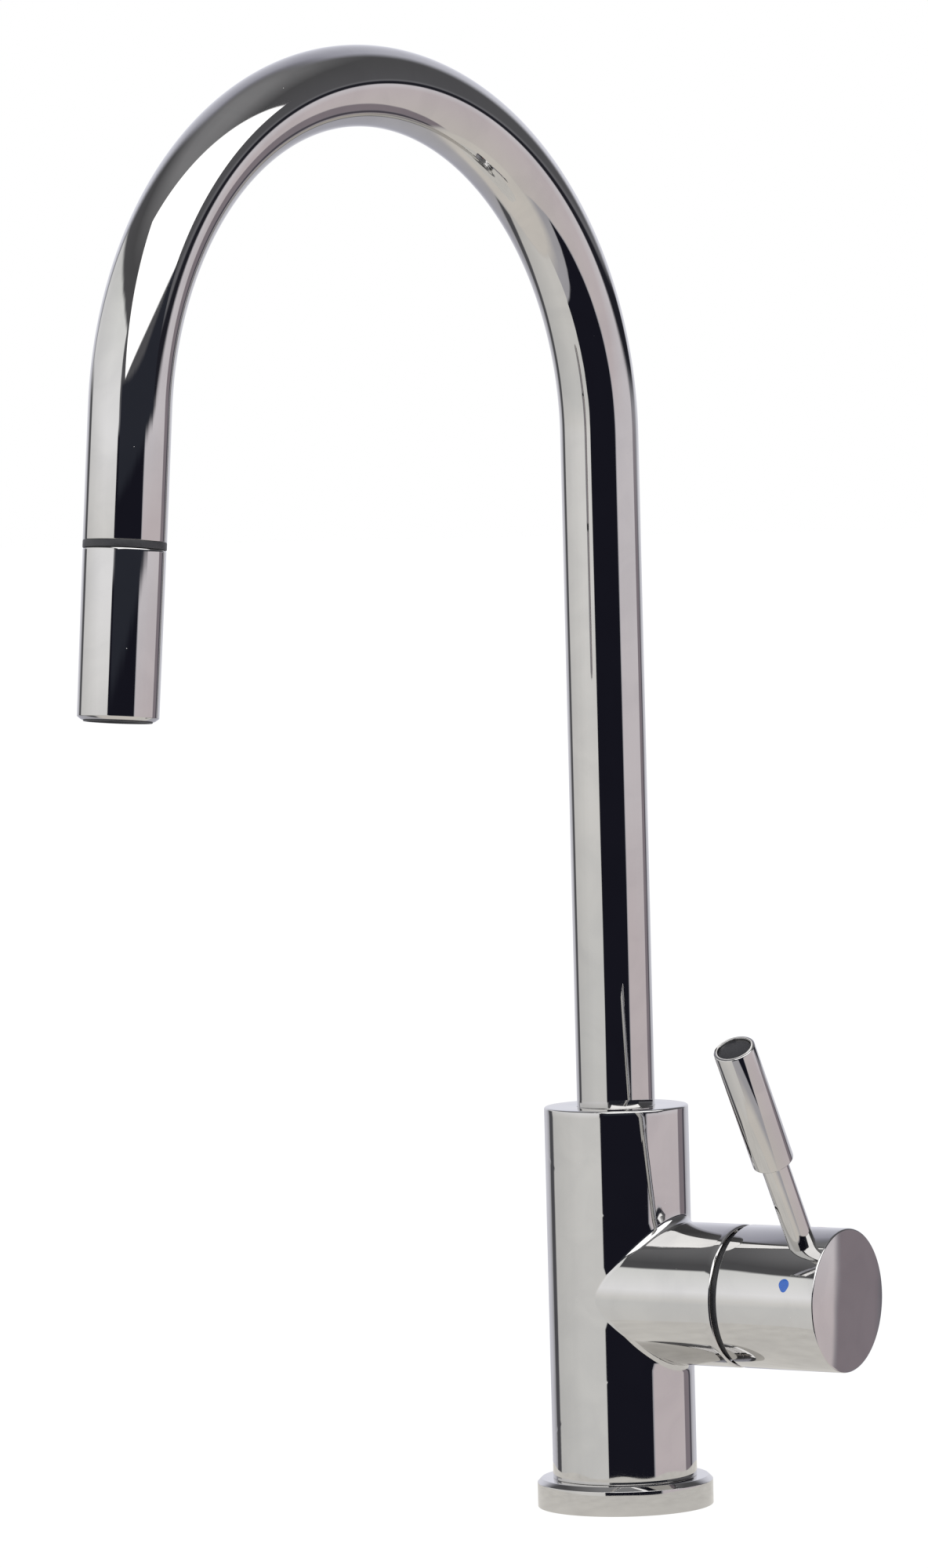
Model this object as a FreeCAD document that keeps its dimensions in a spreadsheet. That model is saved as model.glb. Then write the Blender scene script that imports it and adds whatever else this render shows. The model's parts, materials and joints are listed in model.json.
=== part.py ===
import FreeCAD, Part
import math
import os
import Sketcher
from FreeCAD import Matrix, Placement, Vector

# Single-hole pull-down kitchen faucet, in millimetres, +Z up.
# The origin is on the spout's swivel axis, in the plane of the deck. At rest the spout reaches along -Y,
# and the side branch with the mixer handle points along +X, turned a little towards +Y.

# ---------------------------------------------------------------- driving sizes
SIZES = (
    ("body_dia", 50.0, "valve body trunk, diameter"),
    ("body_top", 139.0, "top of the trunk above the deck"),
    ("body_bevel", 0.7, "bevel on the trunk's top edge"),
    ("spigot_dia", 40.0, "centring spigot under the trunk"),
    ("spigot_drop", 5.0, "length of that spigot"),
    ("flange_dia", 61.0, "base flange, diameter"),
    ("flange_height", 10.0, "base flange, height"),
    ("flange_chamfer", 1.5, "chamfer round the flange's top"),
    ("gasket_inner_dia", 49.0, "deck gasket groove, inner diameter"),
    ("gasket_width", 4.0, "deck gasket groove, radial width"),
    ("gasket_depth", 1.5, "deck gasket groove, depth"),
    ("branch_turn", 8.8, "branch direction, degrees from +X towards +Y"),
    ("branch_height", 74.6, "branch axis above the deck"),
    ("branch_dia", 49.2, "branch, diameter"),
    ("branch_reach", 49.9, "branch end from the swivel axis"),
    ("branch_fillet", 3.0, "blend where the branch leaves the trunk"),
    ("branch_chamfer", 0.8, "bevel on the branch's end"),
    ("running_gap", 0.05, "radial clearance of turning fits"),
    ("face_gap", 0.05, "clearance between faces that slide on each other"),
    ("tube_dia", 27.0, "spout tube, diameter"),
    ("tube_wall", 1.5, "spout tube, wall"),
    ("riser_top", 371.0, "height where the arch starts"),
    ("arch_radius", 117.0, "radius of the arch's centre line"),
    ("arch_angle", 174.5, "angle of the arch, degrees"),
    ("leg_straight", 43.0, "straight tube after the arch"),
    ("socket_depth", 22.0, "depth of the spout socket below the trunk's top"),
    ("rest_ring_height", 1.5, "plastic ring that the tube's end turns on"),
    ("sleeve_wall", 2.0, "spout sleeve, wall"),
    ("sleeve_drop", 19.0, "sleeve length below the socket's ledge"),
    ("sleeve_foot_gap", 0.5, "clearance below the sleeve"),
    ("sleeve_rise", 28.0, "sleeve length inside the tube"),
    ("lock_height", 107.5, "height of the spout's retaining screw"),
    ("lock_dia", 5.0, "retaining screw, thread diameter"),
    ("lock_tip_dia", 4.0, "retaining screw, tip diameter"),
    ("lock_length", 9.0, "retaining screw, threaded length"),
    ("lock_tip_gap", 0.15, "clearance of the tip over the groove's floor"),
    ("lock_groove_depth", 0.95, "groove in the sleeve for the screw's tip"),
    ("lock_groove_width", 6.0, "width of that groove"),
    ("ring_section", 1.2, "friction ring, radial section"),
    ("ring_width", 2.4, "friction ring, height"),
    ("ring_low", 101.0, "lower friction ring above the deck"),
    ("ring_high", 112.4, "upper friction ring above the deck"),
    ("centring_dia", 34.4, "ring that centres the faucet in the 35 mm deck hole, diameter"),
    ("centring_drop", 5.5, "depth of that ring below the deck plane"),
    ("centring_bevel", 0.5, "bevel on the ring's lower edge"),
    ("shank_dia", 33.0, "threaded mounting shank, diameter"),
    ("shank_bore", 29.4, "bore of the shank"),
    ("shank_end", 65.0, "shank length below the deck"),
    ("shank_recess", 14.0, "depth that the shank screws into the body"),
    ("port_drop", 0.5, "gap between the shank's top and the recess's end"),
    ("relief_depth", 0.8, "depth of the thread relief above the deck"),
    ("relief_low", 1.0, "lower edge of that relief"),
    ("relief_high", 4.0, "upper edge of that relief"),
    ("end_bevel", 1.0, "bevel on the shank's lower end"),
    ("inlet_dia", 9.0, "M10x1 inlet thread, core diameter"),
    ("inlet_depth", 12.0, "depth of the inlet threads"),
    ("inlet_forward", 3.0, "inlets from the swivel axis, along the branch"),
    ("inlet_side", 8.8, "inlets from the swivel axis, across the branch"),
    ("outlet_forward", 8.5, "mixed outlet from the swivel axis, along the branch"),
    ("outlet_thread_dia", 10.0, "mixed outlet thread, diameter"),
    ("outlet_pipe_dia", 9.0, "mixed outlet pipe, diameter"),
    ("outlet_pipe_end", 88.0, "mixed outlet pipe, length below the deck"),
    ("channel_dia", 5.5, "water channels, diameter"),
    ("port_high", 2.0, "hot and cold cartridge ports above the branch axis"),
    ("port_mixed", 9.5, "mixed cartridge port below the branch axis"),
    ("hose_dia", 12.0, "spray hose, diameter"),
    ("hose_gap", 1.2, "clearance round the hose in the body"),
    ("hose_shift", 8.2, "hose behind the swivel axis in the shank"),
    ("hose_bend", 60.0, "radius of the hose's two bends in the body"),
    ("hose_bend_low", 54.0, "height where the hose starts to bend"),
    ("hose_end", 70.0, "hose length below the deck"),
    ("hose_fitting_dia", 14.0, "fitting on the hose's lower end, diameter"),
    ("hose_fitting_length", 22.0, "fitting on the hose's lower end, length"),
    ("hose_fitting_step", 2.0, "radial step down to its thread"),
    ("hose_fitting_thread", 8.0, "length of that thread"),
    ("deck_thickness", 30.0, "worktop between flange and washer, at rest"),
    ("clamp_gap", 0.5, "radial clearance of the washers on the shank"),
    ("clamp_gasket_dia", 58.0, "rubber washer, diameter"),
    ("clamp_gasket_height", 3.0, "rubber washer, height"),
    ("clamp_washer_dia", 56.0, "steel washer, diameter"),
    ("clamp_washer_height", 2.0, "steel washer, height"),
    ("nut_dia", 48.0, "mounting nut, diameter"),
    ("nut_height", 8.0, "mounting nut, height"),
    ("nut_stand_off", 3.0, "gap between the nut and the steel washer"),
    ("nut_notch", 6.0, "width of the nut's spanner notches"),
    ("nut_notch_depth", 2.0, "depth of those notches"),
    ("jack_dia", 5.0, "jack screw, diameter"),
    ("jack_circle_dia", 41.0, "circle that the jack screws stand on"),
    ("jack_length", 20.0, "jack screw, length"),
    ("jack_head_dia", 8.0, "jack screw head, diameter"),
    ("jack_head_height", 4.0, "jack screw head, height"),
    ("seat_depth", 12.5, "cartridge seat from the swivel axis"),
    ("cartridge_dia", 35.0, "mixer cartridge, diameter"),
    ("cartridge_gap", 0.15, "radial clearance of the cartridge in the body"),
    ("base_height", 6.0, "cartridge base, thickness"),
    ("seal_dia", 9.0, "port seals, outer diameter"),
    ("seal_height", 1.5, "port seals, thickness"),
    ("disc_height", 3.5, "ceramic discs, thickness"),
    ("housing_bore", 30.0, "cartridge housing, bore"),
    ("housing_shoulder", 43.0, "shoulder that the nut presses on, from the axis"),
    ("housing_lid", 2.0, "thickness of the housing behind that shoulder"),
    ("neck_dia", 28.0, "cartridge neck, diameter"),
    ("neck_bore", 25.0, "cartridge neck, bore"),
    ("neck_end", 50.0, "end of the neck from the swivel axis"),
    ("moving_disc_dia", 22.6, "moving disc and its driver, diameter"),
    ("chamber_dia", 13.8, "mixing chamber in the moving disc, diameter"),
    ("chamber_low", 4.0, "mixing chamber below the disc's centre"),
    ("driver_height", 3.4, "disc driver, thickness"),
    ("ball_dia", 5.2, "ball on the stem's inner end"),
    ("ball_gap", 0.3, "clearance of the ball in the driver"),
    ("arm_length", 8.2, "pivot pin to the ball's centre"),
    ("pivot_reach", 36.4, "pivot pin from the swivel axis"),
    ("pin_dia", 4.0, "pivot pin, diameter"),
    ("pin_length", 27.6, "pivot pin, length"),
    ("guide_low", 29.1, "mixer guide, inner end from the swivel axis"),
    ("guide_high", 40.9, "mixer guide, outer end from the swivel axis"),
    ("guide_slot_open", 6.6, "slot from the pin, on the side the stem swings to"),
    ("guide_slot_back", 6.2, "slot from the pin, on the lever's side"),
    ("stem_square", 8.0, "valve stem, across flats"),
    ("stem_root", 33.0, "inner end of the square part, from the axis"),
    ("stem_tip", 72.0, "outer end of the valve stem, from the axis"),
    ("stem_gap", 0.2, "clearance at the stem's sides in the guide"),
    ("stem_arm_dia", 4.0, "round arm between the square and the ball"),
    ("bonnet_dia", 38.0, "cartridge nut, thread diameter"),
    ("bonnet_end", 54.5, "cartridge nut, outer end from the axis"),
    ("bonnet_head_dia", 35.0, "cartridge nut, head diameter"),
    ("bonnet_gap", 0.1, "clearance of the nut round the neck"),
    ("collar_dia", 45.0, "trim collar in the gap, diameter"),
    ("collar_height", 2.0, "trim collar, thickness"),
    ("cap_gap", 2.5, "gap between the branch and the handle cap"),
    ("cap_end", 90.1, "end of the handle cap from the swivel axis"),
    ("cap_wall", 3.1, "handle cap, wall"),
    ("cap_rim", 0.6, "thickness of the cap's bevelled rim"),
    ("cap_bevel", 0.6, "bevel on the cap's end"),
    ("cap_solid", 74.0, "start of the cap's solid end, from the axis"),
    ("boss_start", 62.5, "start of the boss that grips the stem"),
    ("boss_dia", 18.0, "that boss, diameter"),
    ("lever_place", 79.8, "lever from the swivel axis, along the branch"),
    ("lever_lean", 31.5, "lever at rest, degrees from upright towards the spout's side"),
    ("lever_root", 10.0, "inner end of the lever's thread, from the branch axis"),
    ("lever_thread_dia", 8.0, "lever, thread diameter"),
    ("lever_dia", 9.5, "lever stem, diameter"),
    ("lever_seat", 22.5, "shoulder of the lever stem, from the branch axis"),
    ("grip_start", 58.9, "lower end of the grip, from the branch axis"),
    ("grip_end", 105.9, "top of the grip, from the branch axis"),
    ("grip_dia", 14.3, "grip, diameter"),
    ("grip_bevel", 0.5, "bevel on the grip's ends"),
    ("tenon_dia", 8.0, "end of the lever stem inside the grip"),
    ("tenon_length", 13.0, "length of that end"),
    ("plug_dia", 11.6, "disc in the grip's end"),
    ("plug_height", 1.4, "thickness of that disc"),
    ("plug_sink", 0.6, "depth of the disc below the grip's end"),
    ("index_place", 78.5, "hot and cold marks from the swivel axis"),
    ("index_turn", 40.5, "hot and cold marks from the lever, degrees"),
    ("index_dia", 3.0, "hot and cold marks, diameter"),
    ("index_depth", 1.5, "hot and cold marks, depth"),
    ("grub_dia", 5.0, "handle set screw, diameter"),
    ("grub_place", 68.0, "handle set screw from the swivel axis"),
    ("grub_hole_dia", 5.4, "access hole for that screw"),
    ("dock_ring", 2.4, "black ring between the tube and the head"),
    ("dock_wall", 1.5, "docking collar, wall inside the tube"),
    ("dock_depth", 18.0, "docking collar, length inside the tube"),
    ("head_length", 54.0, "spray head shell, length"),
    ("head_top_dia", 26.8, "spray head at its top"),
    ("head_low_dia", 26.4, "spray head at its outlet"),
    ("head_bevel", 0.6, "bevels on the head's ends"),
    ("head_bore", 23.0, "head shell, bore"),
    ("head_spigot_gap", 0.3, "clearance of the head's spigot in the collar"),
    ("head_spigot", 8.9, "head's spigot above its shell"),
    ("core_length", 40.6, "head core below the shell's top"),
    ("core_chamber_dia", 19.0, "chamber above the aerator"),
    ("core_chamber_top", 19.6, "start of that chamber below the shell's top"),
    ("hose_thread_dia", 15.0, "M15x1 hose nut, thread diameter"),
    ("thread_depth", 13.5, "hose nut thread in the core"),
    ("valve_dia", 12.0, "check valve, diameter"),
    ("valve_length", 11.8, "check valve, length"),
    ("valve_bore", 5.0, "check valve, bore"),
    ("throat_dia", 8.0, "throat below the check valve"),
    ("swivel_head_gap", 0.7, "clearance of the hose nut's head in the docking collar"),
    ("swivel_head_height", 7.0, "hose nut, head height"),
    ("swivel_thread", 9.5, "hose nut, thread length"),
    ("hose_neck_dia", 10.0, "hose end fitting, neck diameter"),
    ("hose_end_bore", 6.0, "hose end fitting, bore"),
    ("hose_end_flange_dia", 14.4, "hose end fitting, flange diameter"),
    ("hose_end_flange", 2.0, "hose end fitting, flange thickness"),
    ("ferrule_start", 12.0, "hose ferrule from the end of the arch"),
    ("ferrule_dia", 14.8, "hose ferrule, diameter"),
    ("ferrule_overlap", 5.3, "fitting's length inside the ferrule"),
    ("ferrule_gap", 0.2, "gap between the ferrule and the hose nut"),
    ("aerator_dia", 24.0, "aerator housing, diameter"),
    ("aerator_spigot", 8.0, "aerator housing, length inside the core"),
    ("aerator_lip_dia", 22.4, "aerator's lip below the head"),
    ("aerator_lip", 1.4, "length of that lip"),
    ("aerator_bore", 20.6, "aerator housing, bore"),
    ("aerator_throat", 16.0, "aerator housing, throat"),
    ("aerator_ledge", 2.0, "ledge between throat and bore, below the spigot"),
    ("aerator_recess", 0.7, "aerator insert above the lip's edge"),
    ("aerator_gasket_height", 1.5, "aerator gasket, thickness"),
    ("jet_dia", 2.4, "aerator openings, diameter"),
    ("jet_circle_dia", 13.0, "circle of the aerator's openings"),
)

JACKS = 3            # jack screws, and spanner notches, round the mounting nut
OUTER_JETS = 10      # openings in the aerator's outer circle
OVERSHOOT = 1        # how far a cutting outline reaches past the metal, mm
LEAST_CUT = 1e-6     # smallest volume that counts as a cut, mm3

doc = FreeCAD.newDocument("kitchen_faucet")
sheet = doc.addObject("Spreadsheet::Sheet", "Sizes")
for row, (alias, number, meaning) in enumerate(SIZES, start=1):
    sheet.set(f"A{row}", meaning)
    sheet.set(f"B{row}", str(number))
    sheet.setAlias(f"B{row}", alias)
doc.recompute()


class Length:
    """A size together with the sheet formula that it comes from."""

    def __init__(self, value, formula):
        self.value = value
        self.formula = formula

    def __add__(self, other):
        other = as_length(other)
        return Length(self.value + other.value, f"({self.formula} + {other.formula})")

    def __sub__(self, other):
        other = as_length(other)
        return Length(self.value - other.value, f"({self.formula} - {other.formula})")

    def __rsub__(self, other):
        return as_length(other) - self

    def __mul__(self, factor):
        return Length(self.value * factor, f"({self.formula} * {factor})")

    def __truediv__(self, divisor):
        return Length(self.value / divisor, f"({self.formula} / {divisor})")

    def __neg__(self):
        return Length(-self.value, f"(-1 * {self.formula})")


def as_length(size):
    return size if isinstance(size, Length) else Length(float(size), str(size))


class SheetSizes:
    """Gives each alias of the sheet as an attribute."""

    def __getattr__(self, alias):
        return Length(float(sheet.get(alias)), f"Sizes.{alias}")


size = SheetSizes()
ZERO = as_length(0)
parts = []


# ---------------------------------------------------------------- frames that the pieces are built in
def frame_of(origin, x_way, z_way):
    """A placement whose local Z lies along z_way and whose local X lies along x_way."""
    z_way.normalize()
    y_way = z_way.cross(x_way)
    y_way.normalize()
    x_way = y_way.cross(z_way)
    matrix = Matrix(
        x_way.x, y_way.x, z_way.x, origin.x,
        x_way.y, y_way.y, z_way.y, origin.y,
        x_way.z, y_way.z, z_way.z, origin.z,
        0, 0, 0, 1,
    )
    return Placement(matrix)


UP = Vector(0, 0, 1)
turn = math.radians(size.branch_turn.value)
lean = math.radians(size.lever_lean.value)
bend = math.radians(size.arch_angle.value)

branch_way = Vector(math.cos(turn), math.sin(turn), 0)
front_way = branch_way.cross(UP)
lever_way = UP * math.cos(lean) + front_way * math.sin(lean)
branch_centre = UP * size.branch_height.value

upright = Placement()
body_frame = frame_of(Vector(), Vector(branch_way), Vector(UP))
branch_frame = frame_of(branch_centre, Vector(UP), Vector(branch_way))
handle_frame = frame_of(branch_centre, Vector(lever_way), Vector(branch_way))

arch_out = size.arch_radius.value * (1 - math.cos(bend))
arch_up = size.arch_radius.value * math.sin(bend)
leg_start = Vector(0, -arch_out, size.riser_top.value + arch_up)
leg_way = Vector(0, -math.sin(bend), math.cos(bend))
leg_frame = frame_of(leg_start, Vector(1, 0, 0), Vector(leg_way))


def beside_branch(place, angle):
    """A frame on the branch axis whose Z points out sideways, at an angle from the lever."""
    radians = math.radians(angle)
    out = lever_way * math.cos(radians) + branch_way.cross(lever_way) * math.sin(radians)
    return frame_of(branch_centre + branch_way * place.value, Vector(branch_way), out)


# ---------------------------------------------------------------- ways of making a piece
def origin_plane(body, role):
    for feature in body.Origin.OriginFeatures:
        if feature.Role == role:
            return feature
    raise ValueError(role)


def new_sketch(body, name, role="XY_Plane", shift=ZERO, up=ZERO):
    """A sketch on one of the body's own planes, shifted along its normal and up its own Y."""
    sketch = body.newObject("Sketcher::SketchObject", name)
    sketch.AttachmentSupport = (origin_plane(body, role), [""])
    sketch.MapMode = "FlatFace"
    sketch.setExpression("AttachmentOffset.Base.z", shift.formula)
    sketch.setExpression("AttachmentOffset.Base.y", up.formula)
    return sketch


def bind(sketch, constraint, length):
    """Adds a dimension and ties it to the sheet."""
    index = sketch.addConstraint(constraint)
    sketch.setExpression(f"Constraints[{index}]", length.formula)


def pin_point(sketch, line, across, along):
    """Fixes the start of a line by its two distances from the sketch's origin."""
    bind(sketch, Sketcher.Constraint("DistanceX", -1, 1, line, 1, across.value), across)
    bind(sketch, Sketcher.Constraint("DistanceY", -1, 1, line, 1, along.value), along)


def draw_outline(sketch, outline):
    """Draws a closed outline of straight lines through dimensioned corners."""
    corners = [(as_length(across), as_length(along)) for across, along in outline]
    count = len(corners)
    points = [Vector(across.value, along.value, 0) for across, along in corners]
    for index in range(count):
        sketch.addGeometry(Part.LineSegment(points[index], points[(index + 1) % count]), False)
    for index in range(count):
        sketch.addConstraint(Sketcher.Constraint("Coincident", index, 2, (index + 1) % count, 1))
    for index, (across, along) in enumerate(corners):
        pin_point(sketch, index, across, along)


def draw_circles(sketch, circles):
    """Draws circles given as centre across, centre along and radius."""
    for across, along, radius in circles:
        across, along, radius = as_length(across), as_length(along), as_length(radius)
        centre = Vector(across.value, along.value, 0)
        circle = sketch.addGeometry(Part.Circle(centre, Vector(0, 0, 1), radius.value), False)
        bind(sketch, Sketcher.Constraint("DistanceX", -1, 1, circle, 3, across.value), across)
        bind(sketch, Sketcher.Constraint("DistanceY", -1, 1, circle, 3, along.value), along)
        bind(sketch, Sketcher.Constraint("Radius", circle, radius.value), radius)


def keep(body, frame):
    body.Placement = frame
    parts.append(body)
    return body


def new_body(label):
    body = doc.addObject("PartDesign::Body", label)
    body.Label = label
    return body


def turned(label, outline, frame=upright):
    """A round piece: its outline, as (radius, height) corners, turned about the local Z."""
    body = new_body(label)
    sketch = new_sketch(body, label + "_outline", "XZ_Plane")
    draw_outline(sketch, outline)
    revolution = body.newObject("PartDesign::Revolution", label + "_turning")
    revolution.Profile = sketch
    revolution.ReferenceAxis = (sketch, ["V_Axis"])
    revolution.Angle = 360
    body.Tip = revolution
    doc.recompute()
    return keep(body, frame)


def pocket(body, name, sketch, depth, backwards=False):
    """Cuts a sketch into the body, and makes sure that it does cut."""
    before = body.Shape.Volume
    cut = body.newObject("PartDesign::Pocket", name)
    cut.Profile = sketch
    cut.Type = "Length"
    cut.Reversed = backwards
    cut.setExpression("Length", as_length(depth).formula)
    body.Tip = cut
    doc.recompute()
    if not body.Shape.Volume < before - LEAST_CUT:
        raise RuntimeError(f"{name} cuts nothing")
    return cut


def drill(body, name, circles, depth, role="XY_Plane", shift=ZERO, up=ZERO, backwards=False):
    sketch = new_sketch(body, name + "_circles", role, shift, up)
    draw_circles(sketch, circles)
    doc.recompute()
    return pocket(body, name, sketch, depth, backwards)


def polar(body, name, feature, count):
    """Repeats a cut round the body's own Z axis."""
    pattern = body.newObject("PartDesign::PolarPattern", name)
    pattern.Originals = [feature]
    pattern.Axis = (origin_plane(body, "Z_Axis"), [""])
    pattern.Angle = 360
    pattern.Occurrences = count
    body.Tip = pattern
    doc.recompute()
    return pattern


def swept(label, path, profile, body, frame, cut=False):
    """Sweeps a round profile along a path that starts upwards from the profile's plane."""
    kind = "PartDesign::SubtractivePipe" if cut else "PartDesign::AdditivePipe"
    pipe = body.newObject(kind, label + "_sweep")
    pipe.Profile = profile
    pipe.Spine = (path, [])
    body.Tip = pipe
    doc.recompute()
    if not cut:
        keep(body, frame)
    return pipe


def ring(name, outer, inner, height, base):
    """A plain ring made of two cylinders, standing on base = (x, y, z)."""
    solids = []
    for end, radius in (("outer", outer), ("inner", inner)):
        cylinder = doc.addObject("Part::Cylinder", f"{name}_{end}")
        cylinder.setExpression("Radius", radius.formula)
        cylinder.setExpression("Height", height.formula)
        for axis, place in zip("xyz", base):
            cylinder.setExpression(f"Placement.Base.{axis}", place.formula)
        solids.append(cylinder)
    cut = doc.addObject("Part::Cut", name)
    cut.Base, cut.Tool = solids
    return cut


def group(label, members, frame=upright):
    """Several like solids in one node."""
    compound = doc.addObject("Part::Compound", label)
    compound.Label = label
    compound.Links = members
    return keep(compound, frame)


# ---------------------------------------------------------------- sizes that several pieces share
body_r = size.body_dia / 2
branch_r = size.branch_dia / 2
tube_r = size.tube_dia / 2
tube_bore_r = tube_r - size.tube_wall
hose_r = size.hose_dia / 2
channel_r = size.channel_dia / 2
shank_r = size.shank_dia / 2

socket_floor = size.body_top - size.socket_depth
tube_foot = socket_floor + size.rest_ring_height + size.face_gap
sleeve_foot = socket_floor - size.sleeve_drop + size.sleeve_foot_gap
sleeve_r = tube_bore_r - size.running_gap
swivel_plane = socket_floor - size.sleeve_drop
recess_roof = size.shank_recess + size.flange_height - size.spigot_drop
port_roof = recess_roof + size.inlet_depth
high_ports = size.branch_height + size.port_high
mixed_port = size.branch_height - size.port_mixed
seat = size.seat_depth


# ---------------------------------------------------------------- paths of the tube and the hose
def arch_path(body, name, start, leg):
    """Up the riser, round the arch and, if leg is given, down the straight leg, in the Y-Z plane."""
    sketch = new_sketch(body, name, "YZ_Plane")
    radius, top = size.arch_radius, size.riser_top
    centre = Vector(-radius.value, top.value, 0)
    riser = Part.LineSegment(Vector(0, start.value, 0), Vector(0, top.value, 0))
    circle = Part.Circle(centre, Vector(0, 0, 1), radius.value)
    sketch.addGeometry(riser, False)
    sketch.addGeometry(Part.ArcOfCircle(circle, 0, bend), False)
    pin_point(sketch, 0, ZERO, start)
    sketch.addConstraint(Sketcher.Constraint("Vertical", 0))
    sketch.addConstraint(Sketcher.Constraint("Coincident", 0, 2, 1, 1))
    bind(sketch, Sketcher.Constraint("DistanceX", -1, 1, 1, 3, -radius.value), -radius)
    bind(sketch, Sketcher.Constraint("DistanceY", -1, 1, 1, 3, top.value), top)
    bind(sketch, Sketcher.Constraint("DistanceY", -1, 1, 0, 2, top.value), top)
    arc_angle = sketch.addConstraint(Sketcher.Constraint("Angle", 1, bend))
    sketch.setExpression(f"Constraints[{arc_angle}]", "Sizes.arch_angle * 1 deg")
    if leg is not None:
        foot = Vector(leg_start.y, leg_start.z, 0)
        end = foot + Vector(leg_way.y, leg_way.z, 0) * leg.value
        sketch.addGeometry(Part.LineSegment(foot, end), False)
        sketch.addConstraint(Sketcher.Constraint("Tangent", 1, 2, 2, 1))
        bind(sketch, Sketcher.Constraint("Distance", 2, leg.value), leg)
    doc.recompute()
    return sketch


def passage_path(body, name, low, high):
    """Straight up behind the swivel axis, then over to it in two equal bends, in the X-Z plane."""
    sketch = new_sketch(body, name, "XZ_Plane")
    shift, radius, knee = size.hose_shift, size.hose_bend, size.hose_bend_low
    angle = math.acos(1 - shift.value / (2 * radius.value))
    rise = radius.value * math.sin(angle)
    top = knee.value + 2 * rise
    x_low = -shift.value
    z_axis = Vector(0, 0, 1)
    first = Part.Circle(Vector(x_low + radius.value, knee.value, 0), z_axis, radius.value)
    second = Part.Circle(Vector(-radius.value, top, 0), z_axis, radius.value)
    sketch.addGeometry(Part.LineSegment(Vector(x_low, low.value, 0), Vector(x_low, knee.value, 0)), False)
    sketch.addGeometry(Part.ArcOfCircle(first, math.pi - angle, math.pi), False)
    sketch.addGeometry(Part.ArcOfCircle(second, -angle, 0), False)
    sketch.addGeometry(Part.LineSegment(Vector(0, top, 0), Vector(0, high.value, 0)), False)
    pin_point(sketch, 0, -shift, low)
    sketch.addConstraint(Sketcher.Constraint("Vertical", 0))
    bind(sketch, Sketcher.Constraint("DistanceY", -1, 1, 0, 2, knee.value), knee)
    sketch.addConstraint(Sketcher.Constraint("Tangent", 0, 2, 1, 2))
    bind(sketch, Sketcher.Constraint("Radius", 1, radius.value), radius)
    sketch.addConstraint(Sketcher.Constraint("Tangent", 1, 1, 2, 1))
    bind(sketch, Sketcher.Constraint("Radius", 2, radius.value), radius)
    sketch.addConstraint(Sketcher.Constraint("Tangent", 2, 2, 3, 1))
    bind(sketch, Sketcher.Constraint("DistanceX", -1, 1, 3, 2, 0), ZERO)
    bind(sketch, Sketcher.Constraint("DistanceY", -1, 1, 3, 2, high.value), high)
    doc.recompute()
    return sketch


def section(body, name, height, radii, across=ZERO):
    """The round section at the start of a sweep."""
    sketch = new_sketch(body, name, "XY_Plane", height)
    draw_circles(sketch, [(across, ZERO, radius) for radius in radii])
    doc.recompute()
    return sketch


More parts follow.
